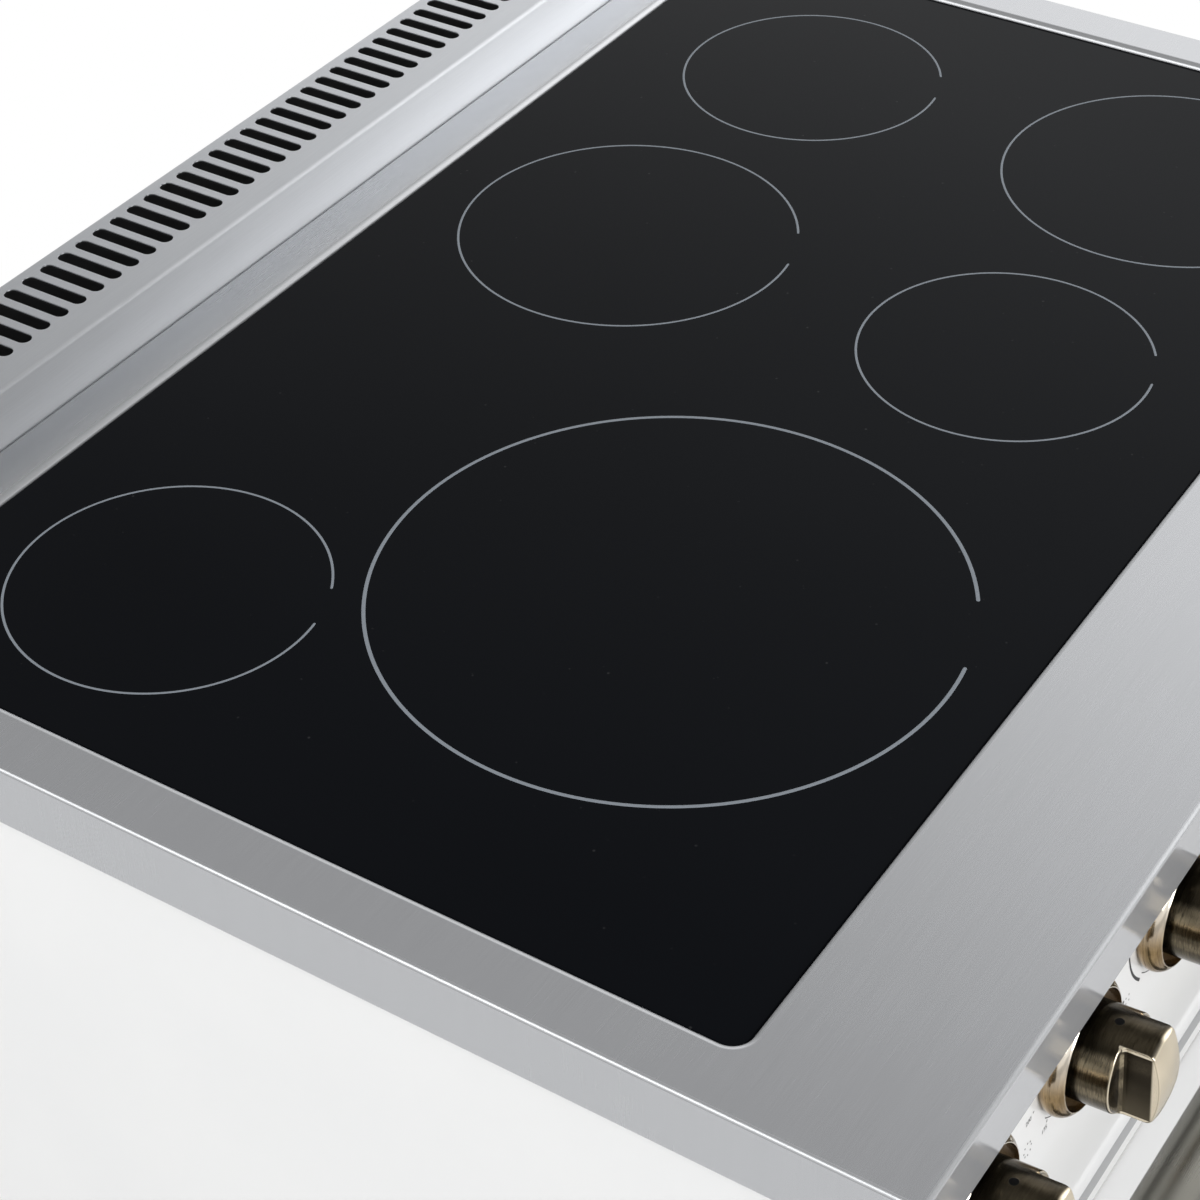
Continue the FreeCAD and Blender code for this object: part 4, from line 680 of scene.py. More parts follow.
@dataclass(frozen=True)
class KnobMetal(TurnedMetal):
    """Dark knob with its end and the outline of its grip rubbed bare, painted reflection bands along its flanks, and
    painted shade on its flats.
    """

    radius: float = 0.023
    half_grip: float = 0.01075
    root: float = 0.0285
    end_from: float = 0.036
    end_facing: Span = (0.35, 0.85)
    end_cover: float = 0.95
    dome: Span = (0.0425, 0.0435)
    line: float = 0.0008
    line_core: float = 0.35
    line_cover: float = 0.9
    brim_reach: Span = (0.3, 0.8)
    wear: float = 0.1
    light: Colour = (0.37, 0.31, 0.21)
    rubbed_and_highlight: Colour = (0.84, 0.74, 0.57)
    # Painted reflections: light and dark bands by height from the knob's axis, each a span and the tones it eases
    # between.
    flank_painted_reflections: tuple[tuple[Span, Span], ...] = (
        ((0.018, 0.0145), (0.2, 2.6)), ((0.0105, 0.0075), (1.0, 0.17)), ((0.0025, 0.0), (1.0, 2.2)),
        ((-0.002, -0.0045), (1.0, 0.45)), ((-0.012, -0.02), (1.0, 2.0)))
    flat_reach: float = 0.0003
    # Painted shade on the flats: dark at their top, lighter lower down.
    flat_painted_shade: tuple[Span, Span] = ((0.004, -0.024), (0.0, 0.2))
    flat_grain: float = 0.05

    def toned(self, share: Signal, at: AxisPlace) -> Signal:
        """Painted reflection bands along the flanks, dark above, and painted shade on both flats, darker at their top.

        Args:
            share: The tone from rings and patches.
            at: Place from the knob's axis.

        Returns:
            The tone.
        """
        # Painted reflection bands by height, dark above.
        for ends, tones in self.flank_painted_reflections:
            share = share * at.up.ease(ends, tones)
        near = abs(abs(at.across) - self.half_grip) < self.flat_reach
        # Painted shade on the flats, by height.
        flat_shaded_tone = at.up.ease(*self.flat_painted_shade) + share * self.flat_grain
        return share + near * (at.along > self.root) * (flat_shaded_tone - share)

    def bare_and_highlight(self, edge: Signal, at: AxisPlace) -> Signal:
        """The worn edges, the domed end, the outline of both flats and the brim of the step that they rise from.

        Args:
            edge: Mask of the worn edges.
            at: Place from the knob's axis.

        Returns:
            The mask of all bare places.
        """
        shader, line, side = edge.shader, self.line, abs(at.across)
        core, brim_reach = line * self.line_core, tuple(line * share for share in self.brim_reach)
        facing = shader.vector("DOT_PRODUCT", shader.geometry("Normal"), PANEL.out, "Value")
        end = facing.ease(self.end_facing, (0.0, self.end_cover)) * (at.along > self.end_from)
        reach = shader.length(at.across, at.up)
        by_flat = abs(side - (self.half_grip + core)).ease((core, line), (1.0, 0.0))
        outer = (reach > self.radius - 2 * line).most(at.along.remap(self.dome))
        outline = by_flat * outer * (at.along > self.root - line)
        by_root = abs(at.along - self.root).ease(brim_reach, (1.0, 0.0))
        brim = by_root * (reach > self.radius - line) * (side > self.half_grip)
        return edge.most(end.most(outline.most(brim) * self.line_cover))


@dataclass(frozen=True)
class BezelMetal(TurnedMetal):
    """Brass bezel with a painted highlight over its upper side, and its tarnish below."""

    # Painted highlight: heights from the axis over which the upper side eases to the bright colour.
    highlight_rise: Span = (-0.004, 0.026)
    highlight_cover: float = 0.95

    def bare_and_highlight(self, edge: Signal, at: AxisPlace) -> Signal:
        """The worn edges, and a painted highlight over the upper side with a soft limit."""
        return edge.most(at.up.ease(self.highlight_rise, (0.0, self.highlight_cover)))


@dataclass(frozen=True)
class Enamel(Finish):
    """Fired or painted coat with a gloss over it."""

    colour: Colour = (0.9, 0.902, 0.9)
    shade: Colour = (0.885, 0.888, 0.888)
    rough: Span = (0.16, 0.24)
    skin: float = 900.0
    fleck: Colour = (0.9, 0.9, 0.9)
    fleck_cover: float = 0.0
    fleck_scale: float = 330.0
    relief: float = 0.00003

    def paint(self, coat: Coat) -> None:
        """A slight drift of tone, peel, smears in the gloss, and flecks where the coat has them.

        Args:
            coat: The material's coat.
        """
        skin = coat.group(enamel_skin(), Scale=self.skin)
        smear = coat.group(handling(), Scale=5.0)["Smear"]
        colour = coat.blend(skin["Tone"].remap((0.35, 0.65)), self.shade, self.colour)
        if self.fleck_cover > 0.0:
            spots = coat.group(flecks(), Scale=self.fleck_scale, Cover=self.fleck_cover)
            colour = coat.blend(spots["Fleck"], colour, self.fleck)
        coat.feed(Base_Color=colour, Coat_Weight=0.35, Coat_Roughness=0.06, Roughness=smear.remap(UNIT, self.rough),
                  Normal=coat.bump(skin["Height"], 0.2, self.relief))


@dataclass(frozen=True)
class HemmedEnamel(Enamel):
    """White coat of the control panel, with a grey band of painted shade on the ledge of its proud lower hem."""

    # Grey of the painted shade on the hem's ledge.
    ledge: Colour = (0.48, 0.486, 0.495)
    hem_height: float = 0.0057
    reach: float = 0.0003
    outer: float = 0.0022

    def paint(self, coat: Coat) -> None:
        """The coat, and painted shade in grey over the inner part of the hem's ledge.

        Args:
            coat: The material's coat.
        """
        super().paint(coat)
        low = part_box("control_panel")[0]
        _, y, z = coat.parts(coat.place())
        on_ledge = (abs(z - (low.z + self.hem_height)) < self.reach) * (y > low.y + self.outer)
        # Painted shade: the inner part of the ledge is laid grey.
        coat.feed(Base_Color=coat.blend(on_ledge, coat.fed("Base Color"), self.ledge))


@dataclass(frozen=True)
class CeramicGlass(Finish):
    """Opaque black glass of the cooktop."""

    colour: Colour = (0.0019, 0.0022, 0.0033)
    haze: Colour = (0.0029, 0.0034, 0.0048)
    dust: Colour = (0.4, 0.4, 0.4)
    dust_cover: float = 0.05
    rough: Span = (0.05, 0.085)

    def paint(self, coat: Coat) -> None:
        """Near black with a faint haze, wiping smears and a little dust.

        Args:
            coat: The material's coat.
        """
        marks = coat.group(handling(), Scale=4.0)
        body = coat.blend(coat.noise(coat.place(), 2.2, 3.0).remap((0.3, 0.7)), self.colour, self.haze)
        coat.feed(Base_Color=coat.blend(marks["Speck"] * self.dust_cover, body, self.dust), IOR=1.5,
                  Specular_IOR_Level=0.065, Specular_Tint=(0.88, 0.95, 1.0),
                  Roughness=marks["Smear"].remap(UNIT, self.rough))


@dataclass(frozen=True)
class ClearGlass(Finish):
    """See-through glass, tinted or clear."""

    colour: Colour = (0.3, 0.31, 0.32)
    rough: Span = (0.01, 0.03)
    smeared: float = 0.92

    def paint(self, coat: Coat) -> None:
        """A tint with faint smears.

        Args:
            coat: The material's coat.
        """
        smear = coat.group(handling(), Scale=5.0)["Smear"]
        deep = tuple(part * self.smeared for part in self.colour)
        coat.feed(Base_Color=coat.blend(smear, self.colour, deep), IOR=1.48, Transmission_Weight=1.0,
                  Roughness=smear.remap(UNIT, self.rough))


@dataclass(frozen=True)
class Moulded(Finish):
    """Plastic, rubber or felt with a fine skin."""

    colour: Colour = (0.02, 0.02, 0.021)
    shade: Colour = (0.028, 0.028, 0.03)
    rough: Span = (0.3, 0.45)
    skin: float = 1400.0
    relief: float = 0.00008
    dust: Colour = (0.3, 0.3, 0.3)

    def paint(self, coat: Coat) -> None:
        """Fine texture in relief and gloss, with a slight drift of tone and a little dust.

        Args:
            coat: The material's coat.
        """
        skin = coat.group(enamel_skin(), Scale=self.skin)
        speck = coat.group(handling(), Scale=9.0)["Speck"]
        colour = coat.blend(skin["Tone"].remap((0.3, 0.7)), self.colour, self.shade)
        coat.feed(Base_Color=coat.blend(speck, colour, self.dust), Normal=coat.bump(skin["Height"], 0.4, self.relief),
                  Roughness=skin["Height"].remap((0.3, 0.9), self.rough))


@dataclass(frozen=True)
class ZincSheet(Finish):
    """Galvanised sheet with its crystals."""

    dark: Colour = (0.36, 0.37, 0.385)
    light: Colour = (0.56, 0.57, 0.58)
    scale: float = 75.0
    cut: Colour = (0.7, 0.71, 0.72)
    cut_cover: float = 0.4
    veins: float = 0.25
    rough: Span = (0.36, 0.52)

    def paint(self, coat: Coat) -> None:
        """Crystals in colour and gloss, with cut edges a little brighter.

        Args:
            coat: The material's coat.
        """
        zinc = coat.group(spangle(), Scale=self.scale)
        worn = coat.group(edge_wear(), Width=0.001, Breakup=0.4)["Wear"]
        tone = zinc["Crystal"] * (1.0 - self.veins) + zinc["Vein"] * self.veins
        colour = coat.blend(tone, self.dark, self.light)
        coat.feed(Base_Color=coat.blend(worn * self.cut_cover, colour, self.cut), Metallic=1.0,
                  Roughness=zinc["Crystal"].remap(UNIT, self.rough), Normal=coat.bump(zinc["Vein"], 0.15, 0.00004))


@dataclass(frozen=True)
class HeatedMetal(Finish):
    """Steel coloured by heat, in drifts from blue-grey to brown."""

    cool: Colour = (0.2, 0.21, 0.23)
    warm: Colour = (0.3, 0.24, 0.18)
    rough: Span = (0.35, 0.55)

    def paint(self, coat: Coat) -> None:
        """Drifts of colour with a dull scale over them.

        Args:
            coat: The material's coat.
        """
        place = coat.place()
        scale = coat.noise(place, 500.0, 3.0)
        drift = coat.noise(place, 14.0, 4.0, 0.6).ease((0.35, 0.65))
        coat.feed(Base_Color=coat.blend(drift, self.cool, self.warm), Metallic=1.0,
                  Roughness=scale.remap((0.3, 0.7), self.rough), Normal=coat.bump(scale, 0.3, 0.00006))


@dataclass(frozen=True)
class Ink(Finish):
    """Fired print on glass or enamel."""

    colour: Colour = (0.3, 0.35, 0.38)
    rough: float = 0.5
    shine: float = 0.5
    thin: float = 0.7
    thin_rough: float = 0.15

    def paint(self, coat: Coat) -> None:
        """A slightly uneven layer of ink.

        Args:
            coat: The material's coat.
        """
        cover = coat.noise(coat.place(), 900.0, 3.0).remap((0.3, 0.62), (0.82, 1.0))
        thin = tuple(part * self.thin for part in self.colour)
        coat.feed(Base_Color=coat.blend(cover, thin, self.colour), Specular_IOR_Level=self.shine,
                  Roughness=cover.remap((0.8, 1.0), (self.rough + self.thin_rough, self.rough)),
                  Normal=coat.bump(cover, 0.3, 0.00003))


class Looks(Enum):
    """The range's finishes by what they are on."""

    STEEL = RimMetal("brushed_stainless")
    HOOD = HoodMetal("vent_stainless", (0.6, 0.615, 0.64), (0.645, 0.66, 0.685), rough=(0.42, 0.47), stretch=0.9)
    GLASS = CeramicGlass("black_ceramic")
    ZONE_PRINT = Ink("zone_print", (0.2, 0.225, 0.255), 0.45)
    DIAL_PRINT = Ink("dial_print", (0.035, 0.035, 0.038), 0.5)
    WHITE = Enamel("white_enamel")
    PANEL_WHITE = HemmedEnamel("panel_enamel")
    OVEN = Enamel("oven_enamel", (0.035, 0.038, 0.046), (0.028, 0.03, 0.037), (0.2, 0.3), 700.0, (0.5, 0.52, 0.55), 0.2)
    KNOB = KnobMetal("antique_brass")
    # The bezel's bright colour is both its rubbed edges and its painted highlight.
    BEZEL = BezelMetal("polished_brass", dark=(0.11, 0.068, 0.028), light=(0.43, 0.3, 0.15), rubbed_and_highlight=(0.9, 0.84, 0.74),
                       tarnish=(0.3, 0.6), rough=(0.12, 0.2), stretch=0.6, wear=0.5)
    HANDLE = BrushedMetal("satin_bronze", (0.221, 0.215, 0.19), (0.231, 0.224, 0.198), Brushing.ALONG_X, 2100.0,
                          (0.26, 0.27), stray=0.02)
    ZINC = ZincSheet("zinc_sheet")
    FINE_ZINC = ZincSheet("fine_zinc_sheet", (0.4, 0.41, 0.425), (0.47, 0.48, 0.49), 420.0)
    PLASTIC = Moulded("black_plastic", rough=(0.12, 0.22), relief=0.00002)
    RUBBER = Moulded("seal_rubber", (0.025, 0.025, 0.025), (0.035, 0.035, 0.034), (0.6, 0.8), 900.0, 0.0003)
    CHROME = BrushedMetal("chrome_wire", (0.66, 0.67, 0.68), (0.74, 0.745, 0.75), Brushing.ALONG_X, 900.0,
                          (0.08, 0.16), 0.000005)
    HEATER = HeatedMetal("heater_tube")
    FAN = BrushedMetal("fan_steel", (0.44, 0.44, 0.45), (0.56, 0.56, 0.565), Brushing.ALONG_Z, 1900.0, (0.3, 0.42))
    LAMP = ClearGlass("lamp_glass", (0.92, 0.9, 0.84), (0.04, 0.09))
    WINDOW = ClearGlass("door_glass", (0.26, 0.27, 0.285))
    WOOL = Moulded("mineral_wool", (0.62, 0.55, 0.36), (0.72, 0.66, 0.47), (0.85, 0.98), 400.0, 0.0009)
    DISH = Moulded("element_dish", (0.62, 0.6, 0.55), (0.7, 0.68, 0.63), (0.8, 0.95), 600.0, 0.0003)
    LEG = TurnedMetal("leg_steel", Turning.FEET, (0.42, 0.42, 0.425), (0.62, 0.62, 0.625), (0.72, 0.72, 0.72),
                      (0.2, 0.5), (0.24, 0.36), fineness=900.0)
    SCREEN = Ink("timer_segments", (0.05, 0.075, 0.07), 0.3)
    DOT = Ink("index_paint", (0.003, 0.003, 0.003), 0.5, 0.1)


def dress(look: Looks, *nodes: str) -> None:
    """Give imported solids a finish.

    Args:
        look: The finish.
        *nodes: Names of the solids.
    """
    for name in nodes:
        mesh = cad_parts[name].data
        mesh.materials.clear()
        mesh.materials.append(look.value.material())


def middle_of(node: str) -> Vector:
    """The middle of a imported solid's box."""
    low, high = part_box(node)
    return (low + high) / 2


def on_row(node: str) -> Vector:
    """Where a solid has its middle on the panel's face, in the row of knobs."""
    return Vector((middle_of(node).x, PANEL.row_y, PANEL.row_z))


def add_object(name: str, data: bpy.types.ID) -> bpy.types.Object:
    """Put a mesh, curve, lamp or camera into the scene.

    Args:
        name: The object's name.
        data: What it shows.

    Returns:
        The object.
    """
    made = bpy.data.objects.new(name, data)
    bpy.context.scene.collection.objects.link(made)
    return made


class Piece:
    """Points and faces of one new piece."""

    weld: float = 1e-7

    def __init__(self, name: str) -> None:
        """Start an empty piece.

        Args:
            name: The piece's name.
        """
        self.name = name
        self.points: list[Vector] = []
        self.faces: list[tuple[int, ...]] = []

    def add(self, points: Sequence[Vector], faces: Iterable[Sequence[int]]) -> None:
        """Add a patch.

        Args:
            points: Its points, in the part's frame.
            faces: Its faces, as numbers of those points.
        """
        start = len(self.points)
        self.points.extend(points)
        self.faces.extend(tuple(start + index for index in face) for face in faces)

    def strip(self, rows: Sequence[Sequence[Vector]]) -> None:
        """Add a surface through rows with the same number of points each.

        Args:
            rows: The rows of points.
        """
        wide = len(rows[0])
        starts = range(0, wide * (len(rows) - 1), wide)
        faces = [(at, at + 1, at + wide + 1, at + wide) for here in starts for at in range(here, here + wide - 1)]
        self.add([point for row in rows for point in row], faces)

    def finish(self, look: Looks, body: str, slot: str, smooth: bool = True) -> bpy.types.Object:
        """Make the piece's object, dress it and let it ride.

        Args:
            look: Its finish.
            body: The body that it moves with.
            slot: The record's material slot that it belongs to; not used.
            smooth: Whether it is shaded smooth.

        Returns:
            The object.
        """
        mesh = bpy.data.meshes.new(self.name)
        mesh.from_pydata([tuple(point) for point in self.points], [], self.faces)
        work = bmesh.new()
        work.from_mesh(mesh)
        bmesh.ops.remove_doubles(work, verts=work.verts, dist=self.weld)
        bmesh.ops.recalc_face_normals(work, faces=work.faces)
        work.to_mesh(mesh)
        work.free()
        mesh.polygons.foreach_set("use_smooth", [smooth] * len(mesh.polygons))
        mesh.materials.append(look.value.material())
        made = add_object(self.name, mesh)
        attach(made, body)
        LOG.info("piece %s: %d points", self.name, len(mesh.vertices))
        return made


def polar(centre: Vector, across: Vector, up: Vector, radius: float, angle: float) -> Vector:
    """A point on a circle.

    Args:
        centre: The circle's middle.
        across: Direction of angle 0.
        up: Direction of angle 90.
        radius: The circle's radius.
        angle: Angle in degrees.

    Returns:
        The point.
    """
    turn = math.radians(angle)
    return centre + across * (radius * math.cos(turn)) + up * (radius * math.sin(turn))


@dataclass
class Cooktop:
    """Steel frame, black glass with its printed zones, and the slotted rear vent."""

    line: float = 0.0013
    broad_line: float = 0.0019
    broad_radius: float = 0.12
    lift: float = 0.00006
    crown: float = 0.00008
    gap_start: float = -80.0
    gap_end: float = -60.0
    steps: int = 160
    cap_shares: tuple[float, ...] = (0.5, 0.87, 0.99)
    profile: tuple[Span, ...] = ((-1.0, 0.0), (-0.7, 1.0), (0.0, 1.2), (0.7, 1.0), (1.0, 0.0))
    elements: tuple[str, ...] = ("left_back", "left_front", "middle_back", "middle_front", "right_back", "right_front")
    rim: float = 0.006

    def build(self) -> None:
        """Dress the solids and print the zones."""
        dress(Looks.STEEL, "cooktop_frame")
        dress(Looks.HOOD, "rear_vent")
        dress(Looks.GLASS, "glass_top")
        dress(Looks.ZINC, "element_tray")
        for zone in self.elements:
            dress(Looks.DISH, f"element_{zone}")
            self.print_zone(zone)

    def print_zone(self, zone: str) -> None:
        """Print one zone's ring, a crowned line with round ends that is open towards the front right.

        Args:
            zone: The zone's name.
        """
        low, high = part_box(f"element_{zone}")
        centre = Vector(((low.x + high.x) / 2, (low.y + high.y) / 2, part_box("glass_top")[1].z))
        radius = (high.x - low.x) / 2 - self.rim
        half = (self.broad_line if radius > self.broad_radius else self.line) / 2
        sweep = 360.0 - (self.gap_end - self.gap_start)
        rows = [self.section(centre, radius, self.gap_end + sweep * step / self.steps, half)
                for step in range(self.steps + 1)]
        cap = math.degrees(half / radius)
        for share in self.cap_shares:
            width = half * math.sqrt(1.0 - share * share)
            rows.insert(0, self.section(centre, radius, self.gap_end - cap * share, width))
            rows.append(self.section(centre, radius, self.gap_start + cap * share, width))
        piece = Piece(f"zone_ring_{zone}")
        piece.strip(rows)
        piece.finish(Looks.ZONE_PRINT, "cabinet", "ceramic_glass")

    def section(self, centre: Vector, radius: float, angle: float, half: float) -> list[Vector]:
        """One cross section of a printed line.

        Args:
            centre: The ring's middle on the glass.
            radius: The line's radius.
            angle: Place on the ring in degrees.
            half: Half the line's width there.

        Returns:
            Points across the line, low at both sides and crowned in the middle.
        """
        return [polar(centre, ACROSS, BACK, radius + half * side, angle) + UP * (self.lift + self.crown * rise)
                for side, rise in self.profile]


class Dial(Enum):
    """What is printed round a knob."""

    ZONE = "zone"
    HEAT = "heat"
    MODE = "mode"


class PanelPrint(Piece):
    """A flat print on the control panel, laid out from its own middle in the row of knobs."""

    spot_points: int = 20

    def __init__(self, name: str, node: str, lift: float) -> None:
        """Start a print in front of a solid.

        Args:
            name: The piece's name.
            node: The solid whose middle it shares.
            lift: How far it lies before the panel's face.
        """
        super().__init__(name)
        self.middle = on_row(node) + PANEL.out * lift

    def at(self, radius: float, angle: float) -> Vector:
        """A point at an angle clockwise from the top."""
        return polar(self.middle, ACROSS, PANEL.up, radius, 90.0 - angle)

    def beside(self, across: float, up: float) -> Vector:
        """A point at distances across and up from the middle."""
        return self.middle + ACROSS * across + PANEL.up * up

    def spot(self, base: Vector, radius: float) -> None:
        """Add one round spot."""
        turns = [360.0 * step / self.spot_points for step in range(self.spot_points)]
        self.add([polar(base, ACROSS, PANEL.up, radius, turn) for turn in turns], [range(self.spot_points)])


@dataclass
class Controls:
    """Sloping panel with knobs, bezels, dial marks, regulators and timer."""

    lift: float = 0.00007
    knob_radius: float = 0.023
    dot_height: float = 0.023
    dot_radius: float = 0.00212
    dot_hole: float = 0.02
    dot_crown: float = 0.00004
    dot_over: float = 1.6
    dot_rings: int = 4
    dot_steps: int = 24
    scale_radius: float = 0.0385
    scale_start: float = 36.0
    scale_end: float = 138.0
    scale_widths: Span = (0.0005, 0.0017)
    base_radius: float = 0.0352
    base_widths: Span = (0.0005, 0.0005)
    arc_steps: int = 64
    number_radius: float = 0.0395
    number_size: float = 0.0036
    number_room: float = 0.0008
    tick: Span = (0.0362, 0.0374)
    tick_width: float = 0.0007
    spot: float = 0.0009
    sign_place: Span = (-0.0405, -0.0295)
    sign_pitch: Span = (0.0032, 0.0034)
    sign_columns: int = 3
    sign_ring: float = 0.0036
    sign_turn: int = 45
    sign_dot: float = 0.0005
    sign_marked: float = 0.0012
    dials: tuple[Dial, ...] = (Dial.MODE, Dial.HEAT) + (Dial.ZONE,) * 6
    heats: tuple[str, ...] = ("50", "75", "100", "125", "150", "175", "200", "225", "250")
    modes: int = 9
    timer_lift: float = 0.00135
    figure: tuple[float, float, float] = (0.0068, 0.0072, 0.0011)
    figure_places: tuple[float, ...] = (-0.0225, -0.0095, 0.0095, 0.0225)
    bar_inset: float = 0.62
    colon: Span = (-0.003, 0.003)

    def build(self) -> None:
        """Dress the solids, print the dials, and fill the knobs' index dots."""
        dress(Looks.PANEL_WHITE, "control_panel")
        dress(Looks.BEZEL, "knob_bezels")
        dress(Looks.PLASTIC, "regulators", "timer_display")
        for number, dial in enumerate(self.dials, 1):
            dress(Looks.KNOB, f"knob_{number}")
            self.fill_dot(number)
            self.print_dial(number, dial)
        self.print_timer()

    def fill_dot(self, number: int) -> None:
        """Fill the recess in a knob's top with paint.

        Args:
            number: The knob's number.
        """
        base = on_row(f"knob_{number}") + PANEL.out * self.dot_height
        rows = []
        for ring in range(self.dot_rings + 1):
            share = ring / self.dot_rings
            reach = self.dot_radius * max(share, self.dot_hole)
            row = []
            for step in range(self.dot_steps + 1):
                turn = math.tau * step / self.dot_steps
                side, ahead = reach * math.cos(turn), reach * math.sin(turn)
                level = math.sqrt(self.knob_radius ** 2 - side ** 2) + self.dot_crown * (self.dot_over - share)
                row.append(base + ACROSS * side + PANEL.out * ahead + PANEL.up * level)
            rows.append(row)
        piece = Piece(f"knob_dot_{number}")
        piece.strip(rows)
        piece.finish(Looks.DOT, f"control_knob_{number}", "antique_brass")

    def print_dial(self, number: int, dial: Dial) -> None:
        """Print the marks round one knob.

        Args:
            number: The knob's number.
            dial: What its dial shows.
        """
        piece = PanelPrint(f"dial_print_{number}", f"knob_{number}", self.lift)
        start, end = self.scale_start, self.scale_end
        self.add_arc(piece, (end, 360.0 - end), self.base_widths, self.base_radius)
        if dial is Dial.ZONE:
            for ends in ((start, end), (360.0 - start, 360.0 - end)):
                self.add_arc(piece, ends, self.scale_widths, self.scale_radius)
        words = {Dial.HEAT: self.heats, Dial.MODE: ("",) * self.modes}.get(dial, ())
        for index, word in enumerate(words):
            angle = start + (360.0 - 2 * start) * index / (len(words) - 1)
            self.add_tick(piece, angle)
            if word:
                self.add_word(piece, angle, word)
            else:
                piece.spot(piece.at(self.number_radius, angle), self.spot)
        self.add_sign(piece, number)
        piece.finish(Looks.DIAL_PRINT, "cabinet", "black_plastic", smooth=False)

    def add_arc(self, piece: PanelPrint, ends: Span, widths: Span, radius: float) -> None:
        """Add an arc whose width grows from one end to the other.

        Args:
            piece: The dial's print.
            ends: Angles of its ends, clockwise from the top in degrees.
            widths: Widths at those ends.
            radius: Radius of its middle line.
        """
        rows = []
        for step in range(self.arc_steps + 1):
            share = step / self.arc_steps
            angle, width = (low + (high - low) * share for low, high in (ends, widths))
            rows.append([piece.at(radius + width / 2 * side, angle) for side in (-1.0, 1.0)])
        piece.strip(rows)

    def add_sign(self, piece: PanelPrint, number: int) -> None:
        """Add the small plan of six dots that shows a zone's place, or a ring of dots for an oven knob.

        Args:
            piece: The dial's print.
            number: The knob's number.
        """
        base = piece.beside(*self.sign_place)
        if self.dials[number - 1] is not Dial.ZONE:
            for angle in range(0, 360, self.sign_turn):
                piece.spot(polar(base, ACROSS, PANEL.up, self.sign_ring, angle), self.sign_dot)
            return
        wide, tall = self.sign_pitch
        marked = number - 1 - self.dials.index(Dial.ZONE)
        for index in range(self.dials.count(Dial.ZONE)):
            row, column = divmod(index, self.sign_columns)
            spot = base + ACROSS * (wide * (column - 1)) + PANEL.up * (tall * (0.5 - row))
            piece.spot(spot, self.sign_marked if index == marked else self.sign_dot)

    def add_tick(self, piece: PanelPrint, angle: float) -> None:
        """Add one radial tick at an angle clockwise from the top."""
        spread = math.degrees(self.tick_width / 2 / self.tick[1])
        piece.strip([[piece.at(radius, angle + spread * side) for side in (-1.0, 1.0)] for radius in self.tick])

    def add_word(self, piece: PanelPrint, angle: float, word: str) -> None:
        """Add one number, upright, outside the marks.

        Args:
            piece: The dial's print.
            angle: Place clockwise from the top in degrees.
            word: The number.
        """
        curve = bpy.data.curves.new("dial_number", "FONT")
        curve.body, curve.size = word, self.number_size
        curve.align_x = curve.align_y = "CENTER"
        carrier = add_object("dial_number", curve)
        graph = bpy.context.evaluated_depsgraph_get()
        mesh = bpy.data.meshes.new_from_object(carrier.evaluated_get(graph))
        aside = abs(math.sin(math.radians(angle)))
        base = piece.at(self.number_radius + self.number_room * len(word) * aside, angle)
        points = [base + ACROSS * v.co.x + PANEL.up * v.co.y for v in mesh.vertices]
        piece.add(points, [tuple(face.vertices) for face in mesh.polygons])
        bpy.data.objects.remove(carrier)
        bpy.data.curves.remove(curve)
        bpy.data.meshes.remove(mesh)

    def print_timer(self) -> None:
        """Lay four unlit figures of seven bars and a colon on the timer's screen."""
        piece = PanelPrint("timer_segments", "timer_display", self.timer_lift)
        tall, wide, bar = self.figure
        half = bar / 2
        bars = [(0, level, False) for level in (tall, 0, -tall)]
        bars += [(side, level, True) for level in (tall / 2, -tall / 2) for side in (-wide / 2, wide / 2)]
        for place in self.figure_places:
            for side, level, upright in bars:
                long = (tall if upright else wide) / 2 - bar * self.bar_inset
                shape = ((-long, 0), (half - long, half), (long - half, half), (long, 0), (long - half, -half),
                         (half - long, -half))
                turned = [(v, u) if upright else (u, v) for u, v in shape]
                piece.add([piece.beside(place + side + u, level + v) for u, v in turned], [range(len(shape))])
        for level in self.colon:
            piece.spot(piece.beside(0, level), self.spot)
        piece.finish(Looks.SCREEN, "cabinet", "black_plastic", smooth=False)


@dataclass
class Oven:
    """Cavity with its racks, heaters, lamp and fan, and the parts round it."""

    def build(self) -> None:
        """Dress the solids."""
        dress(Looks.OVEN, "oven_cavity", "fan_cover")
        dress(Looks.WOOL, "insulation")
        dress(Looks.RUBBER, "door_seal")
        dress(Looks.CHROME, "rack_guides", "oven_rack_lower", "oven_rack_upper")
        dress(Looks.HEATER, "broil_element", "fan_element")
        dress(Looks.LAMP, "oven_lamp")
        dress(Looks.FAN, "fan_wheel", "fan_motor")


@dataclass
class Door:
    """Drop-down door with its window, handle and hinges."""

    def build(self) -> None:
        """Dress the solids."""
        dress(Looks.WHITE, "door_panel")
        dress(Looks.OVEN, "door_liner")
        dress(Looks.WINDOW, "door_glass_outer", "door_glass_inner")
        dress(Looks.HANDLE, "handle_bar", "handle_posts")
        dress(Looks.ZINC, "door_hinges", "hinge_receivers")


@dataclass
class Drawer:
    """Storage drawer with its tray and runners."""

    def build(self) -> None:
        """Dress the solids."""
        dress(Looks.WHITE, "drawer_front")
        dress(Looks.ZINC, "drawer_tray", "runner_inner", "runner_outer")


